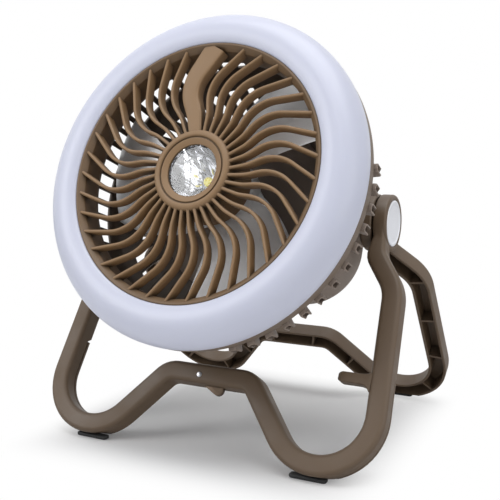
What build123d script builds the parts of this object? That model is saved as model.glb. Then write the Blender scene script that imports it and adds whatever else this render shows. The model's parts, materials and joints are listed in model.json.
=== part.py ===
from build123d import *
import os
from math import asin, atan2, cos, degrees, pi, radians, sin, tan

os.makedirs("parts", exist_ok=True)

# Portable camping fan on a folding double-frame stand, millimetres, +Z up, front towards -Y.
# The origin lies on the ground, in the middle of the fan's outline seen from above.
# Head sizes are measured from the tilt axis: radius from the head's own axis, and "z" forwards along it.

# ---------------------------------------------------------------- driving sizes: pose
head_tilt = 21.7          # how far the head looks up at rest
splay = 31.5              # each frame's angle from the vertical

# light ring and bezel
ring_plane = 80.0         # the light ring's widest plane, ahead of the tilt axis
ring_radius = 100.0       # at that plane
ring_dome = 14.5          # radius of the ring's rounded front
ring_wall = 2.0
bezel_radius = 77.8       # inner edge of the light ring
bezel_wall = 4.2
bezel_front = 92.2
bezel_slope = 3.4         # depth of the bezel's inner bevel

# front grille
rib_count = 37            # positions round the hub; the wide rib takes two of them
rib_width = 2.1
rib_front = 91.4
rib_depth = 6.4
wide_rib_hub = 8.0        # width of the flat rib at the hub
wide_rib_rim = 13.6       # and at the bezel
hub_radius = 24.1
hub_groove = 19.7
hub_front = 92.4
hub_back = 62.0
lens_opening = 15.5

# spotlight
lens_radius = 17.0
lens_thickness = 2.0
lens_front = 89.2
reflector_floor = 68.4
spot_plate_thickness = 2.6
led_radius = 2.6

# rim, basket and fins
rim_wall = 2.2
rim_back = 69.0
shelf_front = 76.8
shelf_thickness = 2.0
drum_radius = 88.5
drum_wall = 2.2
drum_waist = 86.0         # the wall's radius where it turns in
drum_turn = 42.0          # and how far forward that is
drum_shoulder = 80.0      # the radius where the turn runs into the sloping back
drum_back = 20.0          # where the back reaches the pod
fin_count = 56
fin_thickness = 2.0
fin_tip = 101.3
fin_back = 58.0
fin_round = 7.0
fin_from, fin_to = 172.0, 368.0
window_from, window_to = 55.0, 200.0
window_width = 7.0
window_low = 46.0
window_top = 66.0
slot_outer = 77.5
slot_width = 5.0
slot_count = 36

# impeller and motor
blade_count = 3
blade_tip = 79.6
blade_plane = 52.0        # middle of a blade's height
blade_rise_root = 15.0    # how far a blade falls from its front edge to its back edge, at the cup
blade_rise_tip = 21.0     # and at the tip
blade_bow = 3.0           # how far its middle bows forwards
blade_thickness = 2.0
cup_radius = 22.0
cup_front = 60.5
cup_back = 44.0
cup_wall = 2.0
motor_radius = 15.0
motor_front = 48.0
motor_round = 1.5
motor_screw_count = 3
motor_screw_circle = 9.0
motor_screw_radius = 1.2
motor_screw_head = 1.4
motor_screw_bite = 5.0
shaft_radius = 1.5
shaft_bite = 12.0         # length of shaft inside the motor

# rear housing
pod_radius = 58.6
pod_front = 22.0
pod_back = -14.0
pod_wall = 2.2
arm_half_height = 24.0    # of the bridge where it leaves the pod
lug_radius = 15.6
lug_face = 75.6
cover_thickness = 2.6
cell_radius = 9.1
cell_length = 65.0
button_radius = 6.0
button_stand = 1.6        # how far a button stands out of the cover
button_travel = 1.0
button_spread = 15.0      # each button's place beside the middle
button_height = 20.0      # and above it
socket_height = -30.0

# pivots
boss_radius = 17.5
boss_width = 8.2
eye_width = 7.2
washer_thickness = 0.6
washer_radius = 11.0
cap_radius = 14.0
cap_thickness = 1.7
bolt_radius = 5.0
bolt_head_radius = 9.0
bolt_head = 2.2
bolt_reach = 13.0         # length of bolt inside the head's lug

# stand frames, drawn in each frame's own plane
band_width = 12.0
band_depth = 12.0
channel_wall = 1.8
edge_round = 2.8
mid_drop = 111.0          # middle bar's centreline below the pivot line
mid_corner = 28.0         # its corner from the middle
diagonal_slope = 50.7
leg_lean = 3.0
knee_out = 102.5
knee_drop = 46.0
shoulder_drop = 26.0
foot_bend = 30.5
corner_bend = 12.0
knee_bend = 25.0
shoulder_bend = 10.0
web_thickness = 1.4
web_pitch = 18.0
foot_flat = 3.0           # how much of the round foot the pad's flat cuts off
pad_thickness = 2.0
pad_length = 22.0
pad_depth = 5.4
foot_cover_thickness = 2.4
foot_cover_top = 98.0
foot_cover_inner = 70.0

# catch tongue and hook
tongue_length = 20.0
tongue_height = 6.0
tongue_depth = 8.0
tongue_back = 3.0         # its inner face, out from the frame plane
tongue_drop = 98.0
tongue_chamfer = 1.8
tongue_gusset = 3.0
hook_pivot_across = -5.0
hook_blade = 20.0
hook_width = 7.0
hook_thickness = 2.4
hook_slope = 28.0
hook_pin_radius = 1.6
hook_boss_radius = 3.6     # the pin's boss runs into the lower wall

# clearances
seat_gap = 0.1            # between pieces that are fixed together round a curve
run_gap = 0.08            # radial, of a shaft in its bore
side_gap = 0.1            # between faces that turn on each other
move_gap = 0.3            # round a piece that moves

# ---------------------------------------------------------------- derived positions
washer_pitch = washer_thickness + 2 * side_gap
eye_inner = lug_face + washer_pitch
boss_inner = eye_inner + eye_width + washer_pitch
cap_face = boss_inner + boss_width
eye_middle = eye_inner + eye_width / 2
boss_middle = boss_inner + boss_width / 2

slope_tan, lean_tan = tan(radians(diagonal_slope)), tan(radians(leg_lean))
foot_x = knee_out + (mid_drop - knee_drop - mid_corner * slope_tan) * lean_tan
foot_x = foot_x / (1 - slope_tan * lean_tan)
foot_y = -mid_drop - (foot_x - mid_corner) * slope_tan
foot_half_angle = (90 - diagonal_slope - leg_lean) / 2
foot_turn = 90 + leg_lean + foot_half_angle
foot_far = foot_bend / sin(radians(foot_half_angle))
foot_centre = (foot_x + foot_far * cos(radians(foot_turn)), foot_y + foot_far * sin(radians(foot_turn)))
foot_reach = foot_bend + band_width / 2 - foot_centre[1]
front_arm = boss_middle                     # the arms' centrelines beside the pivots
rear_arm = eye_inner + band_width / 2       # flush with the eye's inner face, clear of the head

pivot_height = (foot_reach - foot_flat) * cos(radians(splay)) + pad_thickness
dome_centre = ring_radius - ring_dome
front_reach = (dome_centre * sin(radians(head_tilt)) + ring_plane * cos(radians(head_tilt)) + ring_dome)
rear_reach = ((foot_reach - edge_round) * sin(radians(splay))
              + (band_depth - edge_round) * cos(radians(splay)) + edge_round)
pivot_y = (front_reach - rear_reach) / 2

# The head's plane faces forwards; the two leg planes face away from each other.
pivot = (0, pivot_y, pivot_height)
head = Plane(pivot, x_dir=(1, 0, 0), z_dir=(0, -cos(radians(head_tilt)), sin(radians(head_tilt))))
section = Plane(pivot, x_dir=(1, 0, 0), z_dir=-head.y_dir)
head_axis = Axis(pivot, head.z_dir)
front_leg = Plane(pivot, x_dir=(1, 0, 0), z_dir=(0, -cos(radians(splay)), sin(radians(splay))))
rear_leg = Plane(pivot, x_dir=(-1, 0, 0), z_dir=(0, cos(radians(splay)), sin(radians(splay))))
cross = Plane(pivot, x_dir=(0, 1, 0), z_dir=(1, 0, 0))      # looks along the pivot line


def outline(*points):
    """A closed (radius, forward) outline in the head's section plane, ready to be revolved."""
    with BuildSketch(section) as flat:
        with BuildLine():
            Polyline(*points, close=True)
        make_face()
    return flat.sketch


# ================================================================ light ring
dome_end = 90 + degrees(asin((dome_centre - bezel_radius) / ring_dome))
inner_dome = ring_dome - ring_wall
skin_end = 90 + degrees(asin((dome_centre - bezel_radius - ring_wall) / inner_dome))
inner_wall_end = shelf_front + 7.0
with BuildPart() as light_ring:
    with BuildSketch(section):
        with BuildLine():
            outer = CenterArc((dome_centre, ring_plane), ring_dome, 0, dome_end)
            skin = CenterArc((dome_centre, ring_plane), inner_dome, 0, skin_end)
            Polyline(outer @ 0, (ring_radius, shelf_front), (ring_radius - ring_wall, shelf_front), skin @ 0)
            Polyline(outer @ 1, (bezel_radius, inner_wall_end), (bezel_radius + ring_wall, inner_wall_end),
                     skin @ 1)
        make_face()
    revolve(axis=head_axis)
light_ring.part.label = "light_ring"
export_step(light_ring.part, "parts/light_ring.step")

board_inner = bezel_radius + ring_wall + 1.2
board_outer = ring_radius - ring_wall - 1.5
board_thickness = 1.6
with BuildPart(head) as ring_board:
    with BuildSketch(head.offset(shelf_front)):
        Circle(board_outer)
        Circle(board_inner, mode=Mode.SUBTRACT)
    extrude(amount=board_thickness)
ring_board.part.label = "ring_board"
export_step(ring_board.part, "parts/ring_board.step")

led_count = 24
led_side = 3.5
with BuildPart(head) as ring_leds:
    with BuildSketch(head.offset(shelf_front + board_thickness)):
        with PolarLocations((board_inner + board_outer) / 2, led_count):
            Rectangle(led_side, led_side)
    extrude(amount=0.9)
ring_leds.part.label = "ring_leds"
export_step(ring_leds.part, "parts/ring_leds.step")

# ================================================================ rim
rim_outer = ring_radius - 0.4
shelf_back = shelf_front - shelf_thickness
collar_inner = drum_radius - drum_wall
with BuildPart() as head_rim:
    revolve(outline(
        (bezel_radius - bezel_wall, shelf_back), (rim_outer - rim_wall, shelf_back),
        (rim_outer - rim_wall, rim_back), (rim_outer - 0.5, rim_back), (rim_outer, rim_back + 1.2),
        (rim_outer, shelf_front), (bezel_radius - bezel_wall, shelf_front)), axis=head_axis)
head_rim.part.label = "head_rim"
export_step(head_rim.part, "parts/head_rim.step")

# ================================================================ front grille
# The S-shaped centreline of a rib: out of the hub, round a bend, then straight across to the bezel.
rib_path = [(hub_radius - 2.1, 2.2), (34.0, 5.2), (50.2, 13.3), (bezel_radius - 2.2, -0.6)]
rib_bends = (30, 22)
with BuildSketch() as thin_rib:
    with BuildLine():
        FilletPolyline(*rib_path, radius=rib_bends)
        offset(amount=rib_width / 2, side=Side.BOTH)
    make_face()

# The flat rib follows the same centreline and widens towards the bezel.
step = (wide_rib_rim - wide_rib_hub) / 2 / 3
half_widths = [wide_rib_hub / 2 + step * k for k in range(4)]
legs = [(Vector(*b) - Vector(*a)).normalized() for a, b in zip(rib_path, rib_path[1:])]
sides = [legs[0], (legs[0] + legs[1]).normalized(), (legs[1] + legs[2]).normalized(), legs[2]]
left = [Vector(*p) + s.rotate(Axis.Z, 90) * w for p, s, w in zip(rib_path, sides, half_widths)]
right = [Vector(*p) + s.rotate(Axis.Z, -90) * w for p, s, w in zip(rib_path, sides, half_widths)]
with BuildSketch() as wide_rib:
    with BuildLine():
        left_side = FilletPolyline(*left, radius=(26, 26))
        right_side = FilletPolyline(*right, radius=(30, 16))
        Line(left_side @ 0, right_side @ 0)
        Line(left_side @ 1, right_side @ 1)
    make_face()

rib_pitch = 360 / rib_count
rib_angles = [90 + rib_pitch * (k + 1.5) for k in range(rib_count - 2)]
bezel_inner = bezel_radius - bezel_wall
bezel_outer = bezel_radius - seat_gap
with BuildPart(head) as front_grille:
    with BuildSketch(head.offset(rib_front - rib_depth)):
        Circle(hub_radius)
        with Locations(*[Location((0, 0, 0), (0, 0, a)) for a in rib_angles]):
            add(thin_rib.sketch)
        with Locations(Location((0, 0, 0), (0, 0, 90))):
            add(wide_rib.sketch)
        Circle(bezel_radius - 2.0, mode=Mode.INTERSECT)
        Circle(lens_radius + seat_gap, mode=Mode.SUBTRACT)
    extrude(amount=rib_depth)
    # bezel: a short tube with an inner bevel in front
    revolve(outline(
        (bezel_outer, shelf_front), (bezel_outer, bezel_front - 0.6), (bezel_outer - 0.6, bezel_front),
        (bezel_outer - 1.2, bezel_front), (bezel_inner, bezel_front - bezel_slope),
        (bezel_inner, shelf_front)), axis=head_axis)
    # hub: rounded outer ring, groove, sloped inner face and the lip that holds the lens
    lip_front = hub_front - 1.8
    revolve(outline(
        (hub_radius, hub_back), (hub_radius, hub_front - 2.4), (hub_radius - 0.7, hub_front - 0.8),
        (hub_radius - 2.2, hub_front), (hub_groove + 0.9, hub_front - 0.3),
        (hub_groove + 0.3, hub_front - 1.3), (hub_groove - 0.3, hub_front - 1.3),
        (hub_groove - 0.5, hub_front - 0.6), (lens_opening, lip_front), (lens_opening, lens_front),
        (lens_radius + seat_gap, lens_front), (lens_radius + seat_gap, hub_back)), axis=head_axis)
front_grille.part.label = "front_grille"
export_step(front_grille.part, "parts/front_grille.step")

# ================================================================ spotlight
lens_back = lens_front - lens_thickness
with BuildPart() as spot_lens:
    revolve(outline((0, lens_back), (lens_radius, lens_back), (lens_radius, lens_front),
                    (lens_opening - 0.4, lens_front), (lens_opening - 1.2, lens_front + 0.6),
                    (0, lens_front + 0.9)), axis=head_axis)
spot_lens.part.label = "spot_lens"
export_step(spot_lens.part, "parts/spot_lens.step")

reflector_throat = led_radius + 1.4
with BuildPart() as spot_reflector:
    with BuildSketch(section):
        with BuildLine():
            dish = ThreePointArc((reflector_throat, reflector_floor), (12.6, reflector_floor + 8.6),
                                 (lens_radius - 0.8, lens_back))
            Polyline(dish @ 1, (lens_radius, lens_back), (lens_radius, lens_back - 2.0))
            back = ThreePointArc((lens_radius, lens_back - 2.0), (13.8, reflector_floor + 7.4),
                                 (reflector_throat + 1.6, reflector_floor))
            Line(back @ 1, dish @ 0)
        make_face()
    revolve(axis=head_axis)
spot_reflector.part.label = "spot_reflector"
export_step(spot_reflector.part, "parts/spot_reflector.step")

with BuildPart(head) as spot_plate:
    with BuildSketch(head.offset(reflector_floor - spot_plate_thickness)):
        Circle(lens_radius)
    extrude(amount=spot_plate_thickness)
spot_plate.part.label = "spot_plate"
export_step(spot_plate.part, "parts/spot_plate.step")

with BuildPart() as spot_led:
    revolve(outline((0, reflector_floor), (led_radius, reflector_floor), (led_radius, reflector_floor + 0.8),
                    (led_radius - 0.9, reflector_floor + 2.0), (0, reflector_floor + 2.4)), axis=head_axis)
spot_led.part.label = "spot_led"
export_step(spot_led.part, "parts/spot_led.step")

# ================================================================ rear basket
fin_pitch = 360 / fin_count
fin_root = drum_radius - 0.8
with BuildPart() as fin:
    with BuildSketch(Plane.XZ):
        with Locations(((fin_root + fin_tip) / 2, (fin_back + rim_back) / 2)):
            Rectangle(fin_tip - fin_root, rim_back - fin_back)
    extrude(amount=fin_thickness / 2, both=True)
    outer_edges = fin.edges().filter_by(Axis.Y).group_by(Axis.X)[-1]
    fillet(outer_edges.sort_by(Axis.Z)[0], radius=fin_round)
    fillet(fin.edges().filter_by(Axis.Y).group_by(Axis.X)[-1].sort_by(Axis.Z)[-1], radius=2.0)

# the fins stand round the lower part, the long windows open the upper part
fin_angles = [k * fin_pitch for k in range(fin_count)]
fin_places = [a for a in fin_angles if (a - fin_from) % 360 < fin_to - fin_from]
long_places = [a for a in fin_angles if (a - window_from) % 360 < window_to - window_from]
short_places = [a for a in fin_places if a not in long_places]
shoulder_back = drum_turn - 7.5
slope = atan2(shoulder_back - drum_back, drum_shoulder - pod_radius - seat_gap)
with BuildPart(head) as rear_basket:
    revolve(outline(
        (drum_radius, shelf_back), (drum_radius, fin_back), (drum_waist, drum_turn),
        (drum_waist - 1.7, drum_turn - 4.0), (drum_shoulder, shoulder_back),
        (pod_radius + seat_gap, drum_back), (pod_radius + seat_gap, drum_back + drum_wall / cos(slope)),
        (drum_shoulder - 1.2, shoulder_back + 1.9), (drum_waist - 3.6, drum_turn - 2.4),
        (drum_waist - drum_wall, drum_turn + 0.3), (drum_radius - drum_wall, fin_back),
        (drum_radius - drum_wall, shelf_back)), axis=head_axis)
    with Locations(*[Location((0, 0, 0), (0, 0, a + fin_pitch / 2)) for a in long_places]):
        with Locations((drum_radius - 1, 0, (window_low + window_top) / 2)):
            Box(9, window_width, window_top - window_low, mode=Mode.SUBTRACT)
    with Locations(*[Location((0, 0, 0), (0, 0, a + fin_pitch / 2)) for a in short_places]):
        with Locations((drum_radius - 1, 0, fin_back - 4)):
            Box(9, window_width - 3, 7, mode=Mode.SUBTRACT)
    # leaning slots through the sloping back
    slot_inner = pod_radius + 4
    with BuildSketch(head.offset(drum_back - 1)) as slots:
        with PolarLocations((slot_outer + slot_inner) / 2, slot_count):
            SlotOverall(slot_outer - slot_inner + 1, slot_width, rotation=25)
    extrude(amount=shoulder_back - drum_back + 3, mode=Mode.SUBTRACT)
    with Locations(*[Location((0, 0, 0), (0, 0, a)) for a in fin_places]):
        add(fin.part)
rear_basket.part.label = "rear_basket"
export_step(rear_basket.part, "parts/rear_basket.step")

# ================================================================ impeller
# A broad blade in thin radial slices: angle, reach as a share of the span, and how far across the blade its
# root and its tip lie, from 0 at the front edge to 1 at the back edge.
blade_slices = ((29, 1.0, 0.0, 0.1), (45, 1.0, 0.1, 0.42), (60, 1.0, 0.26, 0.72), (74, 1.0, 0.4, 1.0),
                (88, 0.6, 0.55, 1.0), (104, 0.28, 0.71, 1.0), (121, 0.09, 0.88, 1.0))
blade_root = cup_radius - cup_wall / 2
half_blade = blade_thickness / 2
with BuildPart() as blade:
    for turn, share, across_root, across_tip in blade_slices:
        reach = blade_root + share * (blade_tip - blade_root)
        rise = blade_rise_root + share * (blade_rise_tip - blade_rise_root)
        root_height = blade_plane + blade_rise_root * (0.5 - across_root) + blade_bow * sin(pi * across_root)
        tip_height = blade_plane + rise * (0.5 - across_tip) + blade_bow * sin(pi * across_tip)
        radial = Plane((0, 0, 0), x_dir=(cos(radians(turn)), sin(radians(turn)), 0),
                       z_dir=(sin(radians(turn)), -cos(radians(turn)), 0))
        with BuildSketch(radial):
            with BuildLine():
                Polyline((blade_root, root_height - half_blade), (reach, tip_height - half_blade),
                         (reach, tip_height + half_blade), (blade_root, root_height + half_blade),
                         close=True)
            make_face()
    loft(ruled=True)

with BuildPart(head) as impeller:
    revolve(outline(
        (0, cup_front), (cup_radius - 5, cup_front), (cup_radius - 1.5, cup_front - 1.2),
        (cup_radius, cup_front - 4), (cup_radius, cup_back), (cup_radius - cup_wall, cup_back),
        (cup_radius - cup_wall, cup_front - 5), (cup_radius - 5, cup_front - cup_wall),
        (5, cup_front - cup_wall), (5, motor_front + 1.5), (shaft_radius, motor_front + 1.5),
        (shaft_radius, cup_front - 1), (0, cup_front - 1)), axis=head_axis)
    with PolarLocations(0, blade_count):
        add(blade.part)
impeller.part.label = "impeller"
export_step(impeller.part, "parts/impeller.step")

shaft_back = motor_front - shaft_bite
with BuildPart(head) as motor_shaft:
    with BuildSketch(head.offset(shaft_back)):
        Circle(shaft_radius)
    extrude(amount=cup_front - 1 - shaft_back)
motor_shaft.part.label = "motor_shaft"
export_step(motor_shaft.part, "parts/motor_shaft.step")

with BuildPart() as motor:
    revolve(outline(
        (0, pod_front), (motor_radius, pod_front), (motor_radius, motor_front - motor_round),
        (motor_radius - motor_round, motor_front), (shaft_radius + run_gap, motor_front),
        (shaft_radius + run_gap, shaft_back - 0.4), (0, shaft_back - 0.4)), axis=head_axis)
    with BuildSketch(head.offset(pod_front)):
        with PolarLocations(motor_screw_circle, motor_screw_count):
            Circle(motor_screw_radius + seat_gap / 2)
    extrude(amount=motor_screw_bite + seat_gap, mode=Mode.SUBTRACT)
motor.part.label = "motor"
export_step(motor.part, "parts/motor.step")

# the screws pass through the pod's front wall from inside
plate_back = pod_front - pod_wall
with BuildPart(head) as motor_screws:
    with BuildSketch(head.offset(plate_back)):
        with PolarLocations(motor_screw_circle, motor_screw_count):
            Circle(motor_screw_radius + 1.3)
    extrude(amount=-motor_screw_head)
    with BuildSketch(head.offset(plate_back)):
        with PolarLocations(motor_screw_circle, motor_screw_count):
            Circle(motor_screw_radius)
    extrude(amount=pod_wall + motor_screw_bite)
motor_screws.part.label = "motor_screws"
export_step(motor_screws.part, "parts/motor_screws.step")

# ================================================================ rear housing
screw_circle = pod_radius - 7.5
screw_places = [(screw_circle * cos(radians(a)), screw_circle * sin(radians(a)))
                for a in (45, 135, 225, 315)]
screw_column = 4.2
with BuildPart(head) as rear_housing:
    with BuildSketch(head.offset(pod_back)):
        Circle(pod_radius)
    extrude(amount=pod_front - pod_back)
    # bridge arms taper from the pod to the lugs
    with BuildSketch(head.offset(pod_back)):
        with BuildLine():
            Polyline((-lug_face + 10, -lug_radius + 1.5), (-36, -arm_half_height), (36, -arm_half_height),
                     (lug_face - 10, -lug_radius + 1.5), (lug_face - 10, lug_radius - 1.5),
                     (36, arm_half_height), (-36, arm_half_height), (-lug_face + 10, lug_radius - 1.5),
                     close=True)
        make_face()
    extrude(amount=-2 * pod_back)
    with BuildSketch(cross.offset(-lug_face)):
        Circle(lug_radius)
    extrude(amount=2 * lug_face)
    # the cover's seat, and the hollow pod, open at the back
    with BuildSketch(head.offset(pod_back)):
        Circle(pod_radius + move_gap)
    extrude(amount=-lug_radius, mode=Mode.SUBTRACT)
    with BuildSketch(head.offset(pod_back)):
        Circle(pod_radius - pod_wall)
    extrude(amount=pod_front - pod_wall - pod_back, mode=Mode.SUBTRACT)
    with BuildSketch(head.offset(pod_back + 1)):
        with Locations(*screw_places):
            Circle(screw_column)
    extrude(amount=pod_front - pod_wall - pod_back - 1)
    with BuildSketch(head.offset(pod_front + 1)):
        with PolarLocations(motor_screw_circle, motor_screw_count):
            Circle(motor_screw_radius + seat_gap)
    extrude(amount=-pod_wall - 2, mode=Mode.SUBTRACT)
    # blind bores for the pivot bolts
    for side in (-1, 1):
        with BuildSketch(cross.offset(side * lug_face)):
            Circle(bolt_radius + run_gap)
        extrude(amount=-side * (bolt_reach + 0.5), mode=Mode.SUBTRACT)
rear_housing.part.label = "rear_housing"
export_step(rear_housing.part, "parts/rear_housing.step")

cover_back = pod_back - cover_thickness
with BuildPart(head) as rear_cover:
    with BuildSketch(head.offset(pod_back)):
        Circle(pod_radius)
    extrude(amount=-cover_thickness)
    fillet(rear_cover.edges().group_by(Axis(pivot, head.z_dir))[0], radius=1.8)
    with BuildSketch(head.offset(cover_back)):
        with Locations((-button_spread, button_height), (button_spread, button_height)):
            Circle(button_radius + move_gap)
        with Locations((0, socket_height)):
            RectangleRounded(10.6, 5.0, 1.6)
        with GridLocations(6, 1, 4, 1):
            Circle(1.3)
        with Locations(*screw_places):
            Circle(1.7)
    extrude(amount=cover_thickness + 1, mode=Mode.SUBTRACT)
rear_cover.part.label = "rear_cover"
export_step(rear_cover.part, "parts/rear_cover.step")

with BuildPart(head) as cover_screws:
    with BuildSketch(head.offset(cover_back)):
        with Locations(*screw_places):
            Circle(2.8)
    extrude(amount=-1.4)
    with BuildSketch(head.offset(cover_back)):
        with Locations(*screw_places):
            Circle(1.5)
    extrude(amount=cover_thickness + 0.9)
cover_screws.part.label = "cover_screws"
export_step(cover_screws.part, "parts/cover_screws.step")

board_front = pod_back + 8.0
board_width, board_height = 50.0, 64.0
pcb_thickness = 1.6
flange_thickness = 1.0
with BuildPart(head) as control_board:
    with BuildSketch(head.offset(board_front - pcb_thickness)):
        RectangleRounded(board_width, board_height, 6)
    extrude(amount=pcb_thickness)
    with BuildSketch(head.offset(board_front - pcb_thickness)):
        with Locations((-button_spread, button_height), (button_spread, button_height)):
            Rectangle(6, 6)
    extrude(amount=-(board_front - pcb_thickness - pod_back - move_gap - flange_thickness
                     - button_travel - move_gap))
control_board.part.label = "control_board"
export_step(control_board.part, "parts/control_board.step")

with BuildPart(head) as fan_button:
    with BuildSketch(head.offset(cover_back - button_stand)):
        with Locations((-button_spread, button_height)):
            Circle(button_radius)
    extrude(amount=button_stand + cover_thickness + move_gap)
    with BuildSketch(head.offset(pod_back + move_gap)):
        with Locations((-button_spread, button_height)):
            Circle(button_radius + 1.4)
    extrude(amount=flange_thickness)
fan_button.part.label = "fan_button"
export_step(fan_button.part, "parts/fan_button.step")

with BuildPart(head) as light_button:
    with BuildSketch(head.offset(cover_back - button_stand)):
        with Locations((button_spread, button_height)):
            Circle(button_radius)
    extrude(amount=button_stand + cover_thickness + move_gap)
    with BuildSketch(head.offset(pod_back + move_gap)):
        with Locations((button_spread, button_height)):
            Circle(button_radius + 1.4)
    extrude(amount=flange_thickness)
light_button.part.label = "light_button"
export_step(light_button.part, "parts/light_button.step")

with BuildPart(head) as charge_socket:
    with BuildSketch(head.offset(cover_back + 0.6)):
        with Locations((0, socket_height)):
            RectangleRounded(9.6, 4.0, 1.4)
            RectangleRounded(8.2, 2.6, 1.0, mode=Mode.SUBTRACT)
    extrude(amount=board_front - pcb_thickness - cover_back - 0.6)
    with BuildSketch(head.offset(board_front - pcb_thickness - 1)):
        with Locations((0, socket_height)):
            RectangleRounded(9.6, 4.0, 1.4)
    extrude(amount=1)
charge_socket.part.label = "charge_socket"
export_step(charge_socket.part, "parts/charge_socket.step")

with BuildPart(head) as indicator_lights:
    with BuildSketch(head.offset(cover_back)):
        with GridLocations(6, 1, 4, 1):
            Circle(1.3 - seat_gap)
    extrude(amount=board_front - pcb_thickness - cover_back)
indicator_lights.part.label = "indicator_lights"
export_step(indicator_lights.part, "parts/indicator_lights.step")

cradle_base = board_front + 3.0
cell_axis = cradle_base + 2.0 + cell_radius
cell_places = ((0, cell_radius + 0.6, cell_axis), (0, -cell_radius - 0.6, cell_axis))
with BuildPart(head) as battery_cells:
    for place in cell_places:
        with Locations(place):
            Cylinder(cell_radius, cell_length, rotation=(0, 90, 0))
battery_cells.part.label = "battery_cells"
export_step(battery_cells.part, "parts/battery_cells.step")

with BuildPart(head) as battery_cradle:
    with BuildSketch(head.offset(board_front)):
        Rectangle(cell_length + 6, 4 * cell_radius + 4)
    extrude(amount=3.0 + 2.0 + cell_radius)
    with BuildSketch(head.offset(board_front)):
        Rectangle(cell_length - 8, 4 * cell_radius - 6)
    extrude(amount=3.0, mode=Mode.SUBTRACT)
    for place in cell_places:
        with Locations(place):
            Cylinder(cell_radius + seat_gap, cell_length + 2 * seat_gap, rotation=(0, 90, 0),
                     mode=Mode.SUBTRACT)
battery_cradle.part.label = "battery_cradle"
export_step(battery_cradle.part, "parts/battery_cradle.step")


# ================================================================ stand frames
def frame_path(arm_x, top):
    """The frame's centreline from arm to arm, as corner points in the frame's own plane."""
    half = [(mid_corner, -mid_drop), (foot_x, foot_y), (knee_out, -knee_drop), (arm_x, -shoulder_drop),
            (arm_x, -top)]
    return [(-x, y) for x, y in reversed(half)] + half


bends = [shoulder_bend, knee_bend, foot_bend, corner_bend]
bends = bends + bends[::-1]


def channel_top(arm_x):
    """Where the hollow channel ends, just above the shoulder's bend."""
    turn = atan2(knee_out - arm_x, knee_drop - shoulder_drop)
    return shoulder_drop - shoulder_bend * tan(turn / 2) - 1.5


def stand_shell(plane, arm_x, eye_x, arm_width):
    """One stand frame: a rounded channel band and a round eye at each arm, clipped to the eye's width."""
    with BuildPart(plane) as shell:
        with BuildSketch(plane):
            with BuildLine():
                FilletPolyline(*frame_path(arm_x, 8.0), radius=bends)
                offset(amount=band_width / 2, side=Side.BOTH)
            make_face()
        extrude(amount=band_depth)
        fillet(shell.faces().sort_by(Axis(pivot, plane.z_dir))[-1].edges(), radius=edge_round)
        # the arms are clipped to the eye's width close to the pivot line
        for side in (-1, 1):
            with BuildSketch(cross.offset(side * (eye_x + arm_width / 2))):
                Circle(boss_radius + 0.4)
            extrude(amount=side * 40, mode=Mode.SUBTRACT)
            with BuildSketch(cross.offset(side * (eye_x - arm_width / 2))):
                Circle(boss_radius + 0.4)
            extrude(amount=-side * 40, mode=Mode.SUBTRACT)
        # the channel, open towards the other frame
        with BuildSketch(plane):
            with BuildLine():
                FilletPolyline(*frame_path(arm_x, channel_top(arm_x)), radius=bends)
                offset(amount=band_width / 2 - channel_wall, side=Side.BOTH)
            make_face()
        extrude(amount=band_depth - channel_wall, mode=Mode.SUBTRACT)
        for side in (-1, 1):
            with BuildSketch(cross.offset(side * (eye_x - arm_width / 2))):
                Circle(boss_radius)
            extrude(amount=side * arm_width)
    return shell


def webs(plane, arm_x):
    """Thin webs across the channel, evenly spaced along its centreline."""
    with BuildLine() as path:
        FilletPolyline(*frame_path(arm_x, channel_top(arm_x)), radius=bends)
    wire = path.wires()[0]
    count = int(wire.length / web_pitch)
    with BuildPart(plane) as plates:
        for k in range(1, count):
            spot = wire.position_at(k / count)
            ahead = wire.tangent_at(k / count)
            turn = Plane(origin=(spot.X, spot.Y, 0), x_dir=ahead, z_dir=(0, 0, 1)).location
            with Locations(turn * Location((0, 0, (band_depth - 0.4) / 2 + 0.2))):
                Box(web_thickness, band_width - channel_wall, band_depth - 2.4)
    return plates


front_shell = stand_shell(front_leg, front_arm, boss_middle, boss_width)
rear_shell = stand_shell(rear_leg, rear_arm, eye_middle, eye_width)
front_webs = webs(front_leg, front_arm)
rear_webs = webs(rear_leg, rear_arm)

# what lies below the flat that the feet's pads sit on
with BuildPart() as ground:
    with BuildSketch(Plane.XY.offset(pad_thickness)):
        Rectangle(400, 600)
    extrude(amount=-60)

# the covers close the channel round each front foot
with BuildPart() as front_foot_covers:
    with BuildSketch(front_leg):
        with BuildLine():
            FilletPolyline(*frame_path(front_arm, 8.0), radius=bends)
            offset(amount=band_width / 2, side=Side.BOTH)
        make_face()
        with Locations((0, -foot_cover_top + 100)):
            Rectangle(300, 200, mode=Mode.SUBTRACT)
        with Locations((0, -foot_cover_top)):
            Rectangle(2 * foot_cover_inner, 200, mode=Mode.SUBTRACT)
    extrude(amount=foot_cover_thickness)
    add(ground.part, mode=Mode.SUBTRACT)
front_foot_covers.part.label = "front_foot_covers"
export_step(front_foot_covers.part, "parts/front_foot_covers.step")

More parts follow.
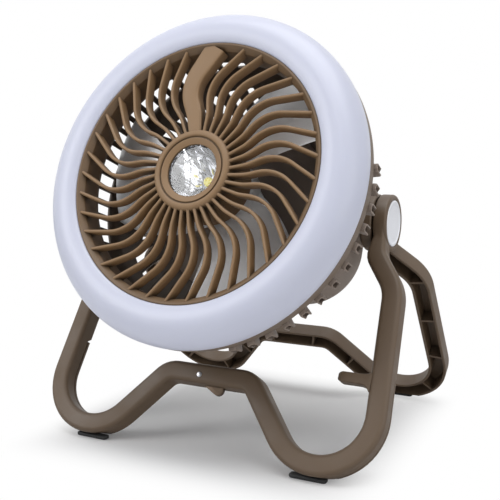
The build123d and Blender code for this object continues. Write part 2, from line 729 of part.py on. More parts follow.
hook_slot_from, hook_slot_to = -14.0, 18.0
hook_drop = mid_drop + 1.2
hook_low = 3.0            # the hook's inner face, out from the frame plane
tongue_outer = knee_out + (tongue_drop - knee_drop) * lean_tan - band_width / 2 + 0.6
tongue_nose = tongue_outer - tongue_length
with BuildPart() as front_frame:
    add(front_shell.part)
    add(front_webs.part)
    # lowered walls under the foot covers
    add(front_foot_covers.part, mode=Mode.SUBTRACT)
    add(ground.part, mode=Mode.SUBTRACT)
    # catch tongue on the right leg
    with BuildSketch(front_leg.offset(tongue_back)):
        with BuildLine():
            Polyline((tongue_outer, -tongue_drop), (tongue_nose + tongue_chamfer, -tongue_drop),
                     (tongue_nose, -tongue_drop - tongue_chamfer),
                     (tongue_nose, -tongue_drop - tongue_height + tongue_chamfer / 2),
                     (tongue_nose + tongue_chamfer / 2, -tongue_drop - tongue_height),
                     (tongue_outer - tongue_gusset, -tongue_drop - tongue_height),
                     (tongue_outer, -tongue_drop - tongue_height - tongue_gusset), close=True)
        make_face()
    extrude(amount=tongue_depth)
    # room for the hook: web-free bay, slot in the lower wall, pin boss
    hook_bay = hook_slot_to - hook_slot_from
    with BuildSketch(front_leg.offset(hook_low - move_gap)):
        with Locations(((hook_slot_from + hook_slot_to) / 2, -mid_drop - band_width / 2)):
            Rectangle(hook_bay, 6)
    extrude(amount=hook_thickness + 2 * move_gap, mode=Mode.SUBTRACT)
    with BuildSketch(front_leg):
        with Locations(((hook_slot_from + hook_slot_to) / 2, -mid_drop)):
            Rectangle(hook_bay, band_width - 2 * channel_wall)
    extrude(amount=band_depth - channel_wall, mode=Mode.SUBTRACT)
    with BuildSketch(front_leg.offset(hook_low + hook_thickness + move_gap)):
        with Locations((hook_pivot_across, -hook_drop)):
            Circle(hook_boss_radius)
    extrude(amount=band_depth - channel_wall - hook_low - hook_thickness - move_gap + 0.5)
    with BuildSketch(front_leg.offset(-1)):
        with Locations((hook_pivot_across, -hook_drop)):
            Circle(hook_pin_radius + seat_gap / 2)
    extrude(amount=band_depth + 3, mode=Mode.SUBTRACT)
    # pivot recesses: bolt head below, silver cap on top
    for side in (-1, 1):
        with BuildSketch(cross.offset(side * cap_face)):
            Circle(cap_radius + seat_gap)
        extrude(amount=-side * cap_thickness, mode=Mode.SUBTRACT)
        with BuildSketch(cross.offset(side * (cap_face - cap_thickness))):
            Circle(bolt_head_radius + seat_gap)
        extrude(amount=-side * bolt_head, mode=Mode.SUBTRACT)
        with BuildSketch(cross.offset(side * cap_face)):
            Circle(bolt_radius + seat_gap / 2)
        extrude(amount=-side * 20, mode=Mode.SUBTRACT)
front_frame.part.label = "front_frame"
export_step(front_frame.part, "parts/front_frame.step")

with BuildPart() as rear_frame:
    add(rear_shell.part)
    add(rear_webs.part)
    add(ground.part, mode=Mode.SUBTRACT)
    with BuildSketch(cross.offset(-120)):
        Circle(bolt_radius + run_gap)
    extrude(amount=240, mode=Mode.SUBTRACT)
rear_frame.part.label = "rear_frame"
export_step(rear_frame.part, "parts/rear_frame.step")

# ================================================================ pads
pad_line = pivot_height * tan(radians(splay)) + 0.3
with BuildPart() as front_pads:
    with BuildSketch():
        with Locations((foot_centre[0] - 3, pivot_y - pad_line - pad_depth / 2),
                       (-foot_centre[0] + 3, pivot_y - pad_line - pad_depth / 2)):
            RectangleRounded(pad_length, pad_depth, 1.6)
    extrude(amount=pad_thickness)
front_pads.part.label = "front_pads"
export_step(front_pads.part, "parts/front_pads.step")

with BuildPart() as rear_pads:
    with BuildSketch():
        with Locations((foot_centre[0] - 3, pivot_y + pad_line + pad_depth / 2),
                       (-foot_centre[0] + 3, pivot_y + pad_line + pad_depth / 2)):
            RectangleRounded(pad_length, pad_depth, 1.6)
    extrude(amount=pad_thickness)
rear_pads.part.label = "rear_pads"
export_step(rear_pads.part, "parts/rear_pads.step")

# ================================================================ pivot hardware
with BuildPart() as pivot_caps:
    for side in (-1, 1):
        with BuildSketch(cross.offset(side * (cap_face - cap_thickness))):
            Circle(cap_radius)
        extrude(amount=side * (cap_thickness + 0.1))
pivot_caps.part.label = "pivot_caps"
export_step(pivot_caps.part, "parts/pivot_caps.step")

with BuildPart() as pivot_bolts:
    for side in (-1, 1):
        with BuildSketch(cross.offset(side * (lug_face - bolt_reach))):
            Circle(bolt_radius)
        extrude(amount=side * (cap_face - cap_thickness - lug_face + bolt_reach))
        with BuildSketch(cross.offset(side * (cap_face - cap_thickness - bolt_head))):
            Circle(bolt_head_radius)
        extrude(amount=side * bolt_head)
pivot_bolts.part.label = "pivot_bolts"
export_step(pivot_bolts.part, "parts/pivot_bolts.step")

with BuildPart() as pivot_washers:
    for side in (-1, 1):
        for start in (lug_face + side_gap, eye_inner + eye_width + side_gap):
            with BuildSketch(cross.offset(side * start)):
                Circle(washer_radius)
                Circle(bolt_radius + seat_gap, mode=Mode.SUBTRACT)
            extrude(amount=side * washer_thickness)
pivot_washers.part.label = "pivot_washers"
export_step(pivot_washers.part, "parts/pivot_washers.step")

# ================================================================ hanging hook
with BuildPart() as hang_hook:
    with BuildSketch(front_leg.offset(hook_low)):
        with Locations(Location((hook_pivot_across, -hook_drop, 0), (0, 0, -hook_slope))):
            with Locations((hook_blade / 2 - hook_width / 2, 0)):
                SlotOverall(hook_blade, hook_width)
            with Locations((0, 0)):
                Circle(hook_pin_radius + run_gap, mode=Mode.SUBTRACT)
    extrude(amount=hook_thickness)
hang_hook.part.label = "hang_hook"
export_step(hang_hook.part, "parts/hang_hook.step")

with BuildPart() as hook_pin:
    with BuildSketch(front_leg.offset(hook_low - move_gap)):
        with Locations((hook_pivot_across, -hook_drop)):
            Circle(hook_pin_radius)
    extrude(amount=band_depth + 0.5 - hook_low + move_gap)
    with BuildSketch(front_leg.offset(hook_low - move_gap - 1.2)):
        with Locations((hook_pivot_across, -hook_drop)):
            Circle(hook_pin_radius + 1.2)
    extrude(amount=1.2)
hook_pin.part.label = "hook_pin"
export_step(hook_pin.part, "parts/hook_pin.step")

print("pivot line y, z:", round(pivot_y, 4), round(pivot_height, 4))
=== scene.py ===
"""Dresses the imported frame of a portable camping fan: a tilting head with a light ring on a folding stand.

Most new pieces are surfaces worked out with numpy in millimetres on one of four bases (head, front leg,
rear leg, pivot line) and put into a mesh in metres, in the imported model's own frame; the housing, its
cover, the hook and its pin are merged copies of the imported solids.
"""
import json
import math
import types
from contextlib import contextmanager

import bmesh
import bpy
import numpy as np
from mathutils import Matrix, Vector

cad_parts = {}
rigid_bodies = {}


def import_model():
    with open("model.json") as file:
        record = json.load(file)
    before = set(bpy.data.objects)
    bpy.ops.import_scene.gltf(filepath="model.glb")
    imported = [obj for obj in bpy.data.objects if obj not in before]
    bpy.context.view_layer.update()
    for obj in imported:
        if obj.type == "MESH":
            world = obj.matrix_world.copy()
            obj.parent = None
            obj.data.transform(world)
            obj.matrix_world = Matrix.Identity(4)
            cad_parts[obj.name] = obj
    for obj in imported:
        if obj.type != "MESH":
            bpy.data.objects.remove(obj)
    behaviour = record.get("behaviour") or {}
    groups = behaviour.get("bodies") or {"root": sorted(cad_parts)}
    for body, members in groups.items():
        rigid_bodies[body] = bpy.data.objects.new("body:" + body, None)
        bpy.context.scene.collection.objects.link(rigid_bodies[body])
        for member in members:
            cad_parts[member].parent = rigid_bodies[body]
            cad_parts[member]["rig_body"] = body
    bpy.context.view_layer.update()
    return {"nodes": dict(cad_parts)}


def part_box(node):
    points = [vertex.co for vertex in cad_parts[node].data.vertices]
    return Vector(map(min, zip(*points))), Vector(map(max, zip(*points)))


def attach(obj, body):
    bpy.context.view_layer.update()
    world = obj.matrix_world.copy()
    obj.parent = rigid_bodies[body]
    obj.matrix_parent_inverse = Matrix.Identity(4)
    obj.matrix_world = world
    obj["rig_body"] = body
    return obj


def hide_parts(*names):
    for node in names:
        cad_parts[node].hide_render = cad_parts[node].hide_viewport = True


bl_info = {
    "name": "Camping fan dress",
    "version": (1, 0, 0),
    "blender": (4, 5, 0),
    "location": "3D View > Sidebar > Camping fan",
    "description": "Builds the visible surfaces and finishes of a portable camping fan",
    "category": "Object",
}

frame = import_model()

# ---- bases, millimetres
HEAD_TILT, SPLAY = math.radians(21.7), math.radians(31.5)
PIVOT = np.array(sum(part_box("pivot_caps"), Vector((0, 0, 0))) / 2) * 1000.0


def _basis(x_axis, z_axis):
    """Rows are a basis's x, y and z directions, with y worked out from the other two."""
    x_axis, z_axis = np.array(x_axis, float), np.array(z_axis, float)
    return np.array([x_axis, np.cross(z_axis, x_axis), z_axis])


HEAD = _basis((1, 0, 0), (0, -math.cos(HEAD_TILT), math.sin(HEAD_TILT)))
FRONT_LEG = _basis((1, 0, 0), (0, -math.cos(SPLAY), math.sin(SPLAY)))
REAR_LEG = _basis((-1, 0, 0), (0, math.cos(SPLAY), math.sin(SPLAY)))
PIVOT_LINE = _basis((0, 1, 0), (1, 0, 0))


def on(basis, points):
    """Points given on a basis through the pivot, as millimetres in the frame's own directions."""
    return PIVOT + points @ basis


# ---- profiles and paths
CORNERS = np.array([(-1, -1), (1, -1), (1, 1), (-1, 1)])


def stacked(*parts):
    """Coordinates spread over each other's shapes and joined into points."""
    return np.stack(np.broadcast_arrays(*parts), -1)


def polar(r, a, *rest):
    """Points at (r cos a, r sin a), with a height if one is given."""
    return stacked(r * np.cos(a), r * np.sin(a), *rest)


def raised(flat, height):
    """Flat points with a height each."""
    return stacked(flat[..., 0], flat[..., 1], height)


def circle(count):
    """Angles at equal steps round a full turn."""
    return np.linspace(0, 2 * math.pi, count, endpoint=False)


def arc(centre, radius, start, end, count):
    """Points round a circle from the start angle to the end angle, in degrees."""
    return centre + polar(radius, np.radians(np.linspace(start, end, count)))


def dome(top, radius, reach, count):
    """A shallow arc over the axis, from its rim up to its top."""
    return arc((0, top - radius), radius, 90, 90 - math.degrees(reach / radius), count)[::-1]


def rounded(points, radius, count=5, closed=True):
    """An outline whose corners are replaced by arcs: each arc touches its corner's two sides, so it starts
    radius * tan(turn / 2) before the corner and ends as far after it."""
    points = np.array(points, float)
    size = len(points)
    ends = () if closed else (0, size - 1)
    radii = iter(np.broadcast_to(np.array(radius, float), size - len(ends)))
    made = []
    for k, corner in enumerate(points):
        r = 0.0 if k in ends else next(radii)
        if r < 1e-6:
            made.append(corner[None])
            continue
        sides = points[[k - 1, (k + 1) % size]] - corner
        before, after = sides / np.linalg.norm(sides, axis=1)[:, None]
        turn = math.pi - math.acos(float(np.clip(before @ after, -1, 1)))
        flip = 1 if before[0] * after[1] > before[1] * after[0] else -1
        inward = np.array([-before[1], before[0]]) * flip
        middle = corner + before * r * math.tan(turn / 2) + inward * r
        a = np.linspace(0, turn, count)[:, None] * -flip
        made.append(middle - r * (inward * np.cos(a) + np.array([-inward[1], inward[0]]) * np.sin(a)))
    return np.concatenate(made)


def bent(line, radius, count=5):
    """A line with its ends kept and its bends rounded."""
    return rounded(line, radius, count, False)


def oblong(across, along, radius, count=5):
    """A rounded rectangle about the origin, given by its half sizes."""
    return rounded(CORNERS * (across, along), radius, count)


def evenly(points, count):
    """The same line with count points at equal steps of its own length."""
    steps = np.concatenate([[0], np.cumsum(np.linalg.norm(np.diff(points, axis=0), axis=1))])
    at = np.linspace(0, steps[-1], count)
    return stacked(*(np.interp(at, steps, column) for column in points.T))


def unit(ways):
    """Flat directions made one long."""
    return ways / np.linalg.norm(ways, axis=1)[:, None]


def ahead(path):
    """Unit directions along a flat path, from the difference of each point's two neighbours."""
    return unit(np.gradient(path, axis=0))


def left_of(ways):
    """Flat directions given a quarter turn to the left."""
    return stacked(-ways[:, 1], ways[:, 0])


# ---- surfaces
def turned(profile, segments, basis, middle=(0.0, 0.0, 0.0)):
    """A (radius, height) profile turned round a basis's z axis: (r cos a, r sin a, h) for every profile
    point and every angle a."""
    return on(basis, polar(profile[:, :1], circle(segments), profile[:, 1:]) + middle)


def carried(path, section):
    """A section of (aside, out) points carried along a flat path: each station is the path's point, plus
    aside along the path's normal, at the height out. The section may differ at each station."""
    return raised(path[:, None] + left_of(ahead(path))[:, None] * section[..., :1], section[..., 1])


def spun(grid, angles):
    """Copies of a surface, each turned about its basis's z axis by one of the angles, in degrees."""
    a = np.radians(np.array(angles))[:, None, None]
    x, y, z = np.moveaxis(grid, -1, 0)
    return stacked(x * np.cos(a) - y * np.sin(a), x * np.sin(a) + y * np.cos(a), z)


def blocks(centres, ways, half, heights):
    """Plates as short closed tubes, each with its centre, its direction and half sizes along and across."""
    corner = CORNERS * half
    flat = centres[:, None] + corner[:, :1] * ways[:, None] + corner[:, 1:] * left_of(ways)[:, None]
    return np.stack([raised(flat, height) for height in heights], 1)


def sheet_faces(rows, columns, loop_rows, loop_columns):
    """Index quads of a grid of points, joined up where a direction is a loop."""
    index = np.arange(rows * columns).reshape(rows, columns)
    if loop_rows:
        index = np.concatenate([index, index[:1]], 0)
    if loop_columns:
        index = np.concatenate([index, index[:, :1]], 1)
    quads = [index[:-1, :-1], index[1:, :-1], index[1:, 1:], index[:-1, 1:]]
    return np.stack(quads, -1).reshape(-1, 4)


@contextmanager
def opened(mesh):
    """A mesh open for edits, which are written back at the end."""
    work = bmesh.new()
    work.from_mesh(mesh)
    yield work
    work.to_mesh(mesh)
    work.free()


def merged(work):
    """Joins doubled points and takes away the faces that have no area."""
    bmesh.ops.remove_doubles(work, verts=work.verts, dist=2e-6)
    bmesh.ops.dissolve_degenerate(work, edges=work.edges, dist=1e-7)


class Shells:
    """Gathers grids of points into one mesh."""

    def __init__(self):
        self.points, self.faces, self.count = [], [], 0

    def add(self, grid, loop_rows=False, ends=False, drop=None):
        """One grid (rows, columns, 3) or several of the same size (k, rows, columns, 3); the columns are a
        loop. Ends closes the first and last row with a face each; drop leaves out the quads it marks."""
        grid = grid.reshape((-1,) + grid.shape[-3:])
        copies, rows, columns = grid.shape[:3]
        quads = sheet_faces(rows, columns, loop_rows, True)
        if drop is not None:
            quads = quads[~drop.reshape(-1)]
        for k in range(copies):
            start = self.count + k * rows * columns
            self.faces += (quads + start).tolist()
            if ends:
                self.faces.append((start + np.arange(columns)[::-1]).tolist())
                self.faces.append((start + (rows - 1) * columns + np.arange(columns)).tolist())
        self.points.append(grid.reshape(-1, 3))
        self.count += copies * rows * columns
        return self

    def piece(self, name, body, finish, replaces=(), sharp=40.0):
        """The finished object: see dressed."""
        mesh = bpy.data.meshes.new(name)
        mesh.from_pydata((np.concatenate(self.points) / 1000.0).tolist(), [], self.faces)
        return dressed(name, mesh, body, finish, replaces, sharp)


def dressed(name, mesh, body, finish, replaces=(), sharp=40.0, outward=True):
    """Joins a mesh's doubled points, turns its faces outwards, shades it smooth but for edges over sharp
    degrees, and hands it to the frame as a piece of its body."""
    with opened(mesh) as work:
        merged(work)
        if outward:
            bmesh.ops.recalc_face_normals(work, faces=work.faces)
    mesh.polygons.foreach_set("use_smooth", np.ones(len(mesh.polygons), bool))
    mesh.set_sharp_from_angle(angle=math.radians(sharp))
    mesh.materials.clear()
    mesh.materials.append(FINISHES[finish])
    piece = bpy.data.objects.new(name, mesh)
    bpy.context.scene.collection.objects.link(piece)
    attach(piece, body)
    if replaces:
        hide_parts(*replaces)
    return piece


def solid_copy(node, name, finish, width):
    """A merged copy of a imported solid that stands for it, with its sharp edges rounded by a small width."""
    source = frame["nodes"][node]
    piece = dressed(name, source.data.copy(), source["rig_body"], finish, (node,), 28.0, outward=False)
    with opened(piece.data) as work:
        bmesh.ops.dissolve_limit(work, angle_limit=math.radians(1.0), verts=work.verts, edges=work.edges)
    bevel = piece.modifiers.new("edge", "BEVEL")
    bevel.width, bevel.segments = width / 1000.0, 2
    bevel.limit_method, bevel.angle_limit = "ANGLE", math.radians(35.0)
    bevel.harden_normals = True


# ---- shader nodes and groups
def put(tree, kind, **values):
    """The outputs of a new shader node. Values with small-letter names are its settings, the others its
    sockets, of which _2 is number 2. A socket given as a value is linked."""
    node = tree.nodes.new("ShaderNode" + kind)
    for key, value in values.items():
        if key[0].islower():
            setattr(node, key, value)
    for key, value in values.items():
        if not key[0].islower():
            socket = node.inputs[int(key[1:]) if key[0] == "_" else key.replace("_", " ")]
            if isinstance(value, bpy.types.NodeSocket):
                tree.links.new(value, socket)
            else:
                socket.default_value = value
    return node.outputs


def worked(tree, operation, *values, **settings):
    """The result of a maths node."""
    sockets = {f"_{k}": value for k, value in enumerate(values)}
    return put(tree, "Math", operation=operation, **settings, **sockets)["Value"]


def ranged(tree, value, low, high, start=0.0, end=1.0, **settings):
    """A value moved from start..end to low..high."""
    return put(tree, "MapRange", Value=value, From_Min=start, From_Max=end, To_Min=low, To_Max=high,
               **settings)["Result"]


def blended(tree, factor, low, high):
    """The colour between two colours or sockets, by a factor."""
    return put(tree, "Mix", data_type="RGBA", _0=factor, _6=low, _7=high)[2]


def noise(tree, place, scale, detail, roughness=0.5):
    """Noise read at a place."""
    return put(tree, "TexNoise", Vector=place, Scale=scale, Detail=detail, Roughness=roughness)


def here(tree):
    """The place on the object that every pattern is read at."""
    return put(tree, "TexCoord")["Object"]


def new_group(name, **inputs):
    """A shader node group, and the float inputs inside it, which are given as name=default."""
    group = bpy.data.node_groups.new(name, "ShaderNodeTree")
    for key, default in inputs.items():
        socket = group.interface.new_socket(name=key, in_out="INPUT", socket_type="NodeSocketFloat")
        socket.default_value = default
    return group, group.nodes.new("NodeGroupInput").outputs


def hand_out(group, **results):
    """Gives a group one float output for each result."""
    for key in results:
        group.interface.new_socket(name=key, in_out="OUTPUT", socket_type="NodeSocketFloat")
    out = group.nodes.new("NodeGroupOutput")
    for key, value in results.items():
        group.links.new(value, out.inputs[key])


def made_grain():
    """Fine moulded grain: small noise for the height, broad noise for the blotches of colour and gloss."""
    group, given = new_group("moulded grain", Grain=1400.0, Blotch=45.0)
    place = here(group)
    fine = noise(group, place, given["Grain"], 3.0, 0.6)
    broad = noise(group, place, given["Blotch"], 4.0, 0.55)
    speck = put(group, "TexVoronoi", Vector=place, Scale=given["Grain"])
    hand_out(group, Height=fine["Fac"], Blotches=broad["Fac"],
             Specks=ranged(group, speck["Distance"], 1, 0, 0.05, 0.3))


def made_edges():
    """Edge wear: where the rounded normal turns away from the plain one, broken up by noise."""
    group, given = new_group("edge wear", Reach=0.0008, Strength=3.0)
    plain = put(group, "NewGeometry")["Normal"]
    soft = put(group, "Bevel", samples=4, Radius=given["Reach"])["Normal"]
    match = put(group, "VectorMath", operation="DOT_PRODUCT", _0=plain, _1=soft)["Value"]
    breaks = noise(group, here(group), 300.0, 4.0)["Fac"]
    patchy = worked(group, "MULTIPLY", worked(group, "SUBTRACT", 1.0, match), breaks)
    hand_out(group, Edge=worked(group, "MULTIPLY", patchy, given["Strength"], use_clamp=True))


def made_dust_and_shade():
    """Dust on upward faces, broken up by noise, and how open each place is, for painted corner shade."""
    group, given = new_group("dust and corner shade", Amount=0.3, Corner=0.004)
    normal = put(group, "SeparateXYZ", Vector=put(group, "NewGeometry")["Normal"])
    # ambient occlusion, from which the materials paint shade into corners and creases
    corner = put(group, "AmbientOcclusion", samples=4, Distance=given["Corner"])["AO"]
    cloud = noise(group, here(group), 120.0, 5.0)["Fac"]
    lift = worked(group, "MULTIPLY", ranged(group, normal["Z"], 0, 1, 0.2), cloud)
    hand_out(group, Dust=worked(group, "MULTIPLY", lift, given["Amount"], use_clamp=True), Open=corner)


def made_brushing():
    """Fine circular brushing round the pivot line: noise read by the distance from that line."""
    group, given = new_group("turned brushing", Lines=2600.0)
    centred = put(group, "Mapping", Vector=here(group), Location=(0.0, *(-PIVOT[1:] / 1000)))["Vector"]
    parts = put(group, "SeparateXYZ", Vector=centred)
    flat = put(group, "CombineXYZ", Y=parts["Y"], Z=parts["Z"])["Vector"]
    radius = put(group, "VectorMath", operation="LENGTH", _0=flat)["Value"]
    along = put(group, "CombineXYZ", X=radius)["Vector"]
    lines = noise(group, along, given["Lines"], 2.0)["Fac"]
    streaks = noise(group, centred, 60.0, 3.0)["Fac"]
    hand_out(group, Height=lines, Streaks=streaks)


# ---- finishes
DUST_SHARE, DUST_GREY, FLECK, WORN = 0.45, 0.6, 0.6, 1.45
COPPER = (0.62, 0.55, 0.36, 1.0)
MIRROR_CELLS, MIRROR_TURN, MIRROR_STRETCH = 120.0, (0.0, 0.75, 0.0), (2.0, 0.8, 0.20)
FINE = 0.00002
FINISHES = {}
SLOTS = dict.fromkeys(("drum_brown", "grille_brown", "bezel_brown", "stand_brown", "housing_brown"),
                      "brown_plastic") | {"hook_brown": "steel"}


def shift(colour, factor):
    """A colour made lighter or darker by a factor."""
    return tuple(min(1.0, c * factor) for c in colour[:3]) + (1.0,)


def shaded(name):
    """A material and its tree, with a surface shader in place."""
    material = bpy.data.materials.new(name)
    material.use_nodes = True
    return material, material.node_tree


def grouped(tree, name, **values):
    """The outputs of a shared group placed in a material's tree with its own values."""
    node = tree.nodes.new("ShaderNodeGroup")
    node.node_tree = bpy.data.node_groups[name]
    for key, value in values.items():
        node.inputs[key].default_value = value
    return node.outputs


def coated(material, colour, gloss, height, depth, **values):
    """Feeds a material's shader with colour, gloss, a height of depth metres and plain values."""
    tree = material.node_tree
    sockets = tree.nodes["Principled BSDF"].inputs
    for key, value in values.items():
        sockets[key.replace("_", " ")].default_value = value
    bump = put(tree, "Bump", Height=height, Distance=depth)["Normal"]
    for key, value in (("Base Color", colour), ("Roughness", gloss), ("Normal", bump)):
        tree.links.new(value, sockets[key])
    return material


def moulded(name, colour, grain=1400.0, depth=0.00006, rough=(0.42, 0.6), wear=0.5, dust=0.2, painted_shade=0.72,
            spread=0.10, sheen=0.0):
    """Moulded plastic: blotches of colour, lighter edges, painted shade in corners, dust on top and a
    fine grain. A pearl pigment gives it a share of metal."""
    material, tree = shaded(name)
    skin = grouped(tree, "moulded grain", Grain=grain)
    edge = grouped(tree, "edge wear", Strength=2.6)["Edge"]
    dust_and_shade = grouped(tree, "dust and corner shade", Amount=dust)
    base = blended(tree, skin["Blotches"], shift(colour, 1 - spread), shift(colour, 1 + spread))
    fleck = blended(tree, ranged(tree, skin["Specks"], 0, 0.10), base, shift(colour, FLECK))
    # painted shade: the colour darkens where ambient occlusion finds the surface closed in
    corner_shaded = blended(tree, ranged(tree, dust_and_shade["Open"], 1, 0, 0.25, 0.95), fleck, shift(colour, painted_shade))
    worn = blended(tree, ranged(tree, edge, 0, wear), corner_shaded, shift(colour, WORN))
    pale = tuple((1 - DUST_SHARE) * c + DUST_SHARE * DUST_GREY for c in colour[:3]) + (1.0,)
    done = blended(tree, dust_and_shade["Dust"], worn, pale)
    return coated(material, done, ranged(tree, skin["Blotches"], *rough, 0.3, 0.7), skin["Height"], depth,
                  Metallic=sheen)


def diffuser(name, colour):
    """Milky satin plastic: very even colour, light dust, and light that wanders in its skin."""
    material, tree = shaded(name)
    skin = grouped(tree, "moulded grain", Grain=900.0, Blotch=14.0)
    dust = grouped(tree, "dust and corner shade", Amount=0.06)["Dust"]
    base = blended(tree, skin["Blotches"], shift(colour, 0.97), shift(colour, 1.03))
    return coated(material, blended(tree, dust, base, shift(colour, 0.9)),
                  ranged(tree, skin["Blotches"], 0.34, 0.46), skin["Height"], FINE,
                  Subsurface_Weight=0.25, Subsurface_Radius=(0.006, 0.006, 0.007), Subsurface_Scale=1.0,
                  Coat_Weight=0.12, Coat_Roughness=0.25)


def metal(name, colour, rough, brushed=False, depth=FINE):
    """Metal: brushed rings or fine grain, with smudges in its gloss and brighter edges."""
    material, tree = shaded(name)
    edge = grouped(tree, "edge wear", Strength=2.0)["Edge"]
    skin = grouped(tree, "turned brushing") if brushed else grouped(tree, "moulded grain", Grain=2200.0)
    base = blended(tree, skin["Height"], shift(colour, 0.86), shift(colour, 1.06))
    done = blended(tree, ranged(tree, edge, 0, 0.5), base, shift(colour, 1.2))
    smudge = skin["Streaks" if brushed else "Blotches"]
    return coated(material, done, ranged(tree, smudge, *rough, 0.3, 0.7), skin["Height"], depth,
                  Metallic=1.0)


def mirror(name, colour):
    """Plated mirror with a painted reflection: warped and stretched cells, each with its own shade of
    grey and a dark border, painted as the room that a faceted bowl breaks up."""
    material, tree = shaded(name)
    drawn = put(tree, "Mapping", Vector=here(tree), Rotation=MIRROR_TURN, Scale=MIRROR_STRETCH)["Vector"]
    warp = noise(tree, drawn, 110.0, 1.0)["Color"]
    moved = put(tree, "VectorMath", operation="MULTIPLY_ADD", _0=warp, _1=(0.008,) * 3, _2=drawn)["Vector"]
    cells = put(tree, "TexVoronoi", Vector=moved, Scale=MIRROR_CELLS)["Color"]
    border = put(tree, "TexVoronoi", feature="DISTANCE_TO_EDGE", Vector=moved,
                 Scale=MIRROR_CELLS)["Distance"]
    shade = put(tree, "SeparateXYZ", Vector=cells)["X"]
    # painted reflection: light and dark cells with dark borders stand in for the room seen in the bowl
    base = blended(tree, ranged(tree, shade, 0, 1, 0.28, 0.50), shift(colour, 0.16), shift(colour, 1.0))
    done = blended(tree, ranged(tree, border, 1, 0, 0.01, 0.06), base, shift(colour, 0.12))
    skin = grouped(tree, "moulded grain", Grain=250.0)
    return coated(material, done, ranged(tree, skin["Blotches"], 0.02, 0.06), border, 0.0001, Metallic=1.0)


def clear(name, colour, rough=0.03):
    """Clear plastic: see-through, with fine dust and hairline scratches in its gloss."""
    material, tree = shaded(name)
    skin = grouped(tree, "moulded grain", Grain=500.0, Blotch=60.0)
    base = blended(tree, skin["Blotches"], shift(colour, 0.97), shift(colour, 1.0))
    return coated(material, base, ranged(tree, skin["Specks"], rough, rough + 0.04), skin["Blotches"],
                  FINE, Transmission_Weight=1.0, IOR=1.49)


def board(name, colour):
    """Circuit board: a brick pattern as copper runs under the lacquer, and small round vias."""
    material, tree = shaded(name)
    place = here(tree)
    runs = put(tree, "TexBrick", Vector=place, Scale=160.0, Color1=shift(colour, 1.0),
               Color2=shift(colour, 1.12), Mortar=shift(colour, 1.6), Mortar_Size=0.03)["Color"]
    dots = put(tree, "TexVoronoi", Vector=place, Scale=260.0)["Distance"]
    skin = grouped(tree, "moulded grain", Grain=1800.0)
    return coated(material, blended(tree, ranged(tree, dots, 1, 0, 0.08, 0.12), runs, COPPER),
                  ranged(tree, skin["Blotches"], 0.25, 0.4), skin["Height"], FINE)


def phosphor(name, colour):
    """Lamp phosphor: soft yellow gel, deeper in its blotches."""
    material, tree = shaded(name)
    skin = grouped(tree, "moulded grain", Grain=3000.0, Blotch=500.0)
    done = blended(tree, skin["Blotches"], shift(colour, 0.85), shift(colour, 1.1))
    tree.links.new(done, tree.nodes["Principled BSDF"].inputs["Emission Color"])
    return coated(material, done, ranged(tree, skin["Blotches"], 0.3, 0.5), skin["Height"], 0.00003,
                  Emission_Strength=0.25)


def finish_all(s):
    """The shared groups, and every material by the name of its finish."""
    for make in (made_grain, made_edges, made_dust_and_shade, made_brushing):
        make()
    paint = bpy.context.scene.fan_colours
    FINISHES.update(
        brown_plastic=moulded("moulded brown", paint.body),
        # painted shade: the drum is the body brown darkened to 0.62, as the basket's inside lies in shade
        drum_brown=moulded("shaded drum brown", shift(paint.body, 0.62), painted_shade=0.5),
        grille_brown=moulded("grille brown", paint.grille, rough=(0.48, 0.64), painted_shade=0.22),
        # painted shade: the bezel is the grille's own brown darkened to 0.60
        bezel_brown=moulded("bezel brown", shift(paint.grille, 0.60), dust=0.1, painted_shade=0.3),
        stand_brown=moulded("stand brown", paint.stand, dust=0.08, painted_shade=0.45),
        housing_brown=moulded("housing brown", paint.housing),
        hook_brown=metal("browned steel", shift(paint.body, 0.8), (0.35, 0.5)),
        light_diffuser=diffuser("milky diffuser", paint.ring),
        blade_grey=moulded("blade grey", paint.blades, grain=900.0, depth=0.00003, rough=(0.32, 0.45),
                           wear=0.3, dust=0.25, spread=0.05, sheen=0.35),
        silver_cap=metal("brushed silver", paint.caps, (0.46, 0.58), brushed=True, depth=0.000015),
        mirror_bowl=mirror("mirror bowl", (0.95, 0.95, 0.97)),
        clear_lens=clear("clear lens", (0.98, 0.99, 1.0)),
        led_yellow=phosphor("lamp phosphor", (0.85, 0.72, 0.08)),
        board_white=board("white board", (0.74, 0.75, 0.73)),
        board_green=board("green board", (0.02, 0.16, 0.06)),
        steel=metal("zinc steel", (0.56, 0.57, 0.60), (0.25, 0.45)),
        nylon=moulded("natural nylon", (0.74, 0.72, 0.66), rough=(0.35, 0.5), wear=0.2),
        rubber_pad=moulded("black rubber", (0.017, 0.017, 0.018), grain=2600.0, depth=0.00008,
                           rough=(0.62, 0.8), wear=0.25, dust=0.3),
        cell_wrap=moulded("cell sleeve", (0.02, 0.12, 0.30), grain=700.0, rough=(0.18, 0.3)),
        cradle_black=moulded("cradle black", (0.02, 0.02, 0.022), rough=(0.4, 0.6)),
        button_grey=moulded("button grey", (0.34, 0.34, 0.35), grain=2200.0, rough=(0.4, 0.55)),
        light_pipe=clear("light pipe", (0.9, 0.97, 0.95), rough=0.15))


# ---- sizes a user may change
def length(name, description, millimetres):
    """A length property whose default is given in millimetres."""
    return bpy.props.FloatProperty(name=name, description=description, default=millimetres / 1000.0,
                                   min=0.0, unit="LENGTH", subtype="DISTANCE")


def number(name, description, default, least):
    """A count property."""
    return bpy.props.IntProperty(name=name, description=description, default=default, min=least)


def colour(name, description, rgb):
    """A colour property."""
    return bpy.props.FloatVectorProperty(name=name, description=description, default=rgb, min=0.0, max=1.0,
                                         size=3, subtype="COLOR")


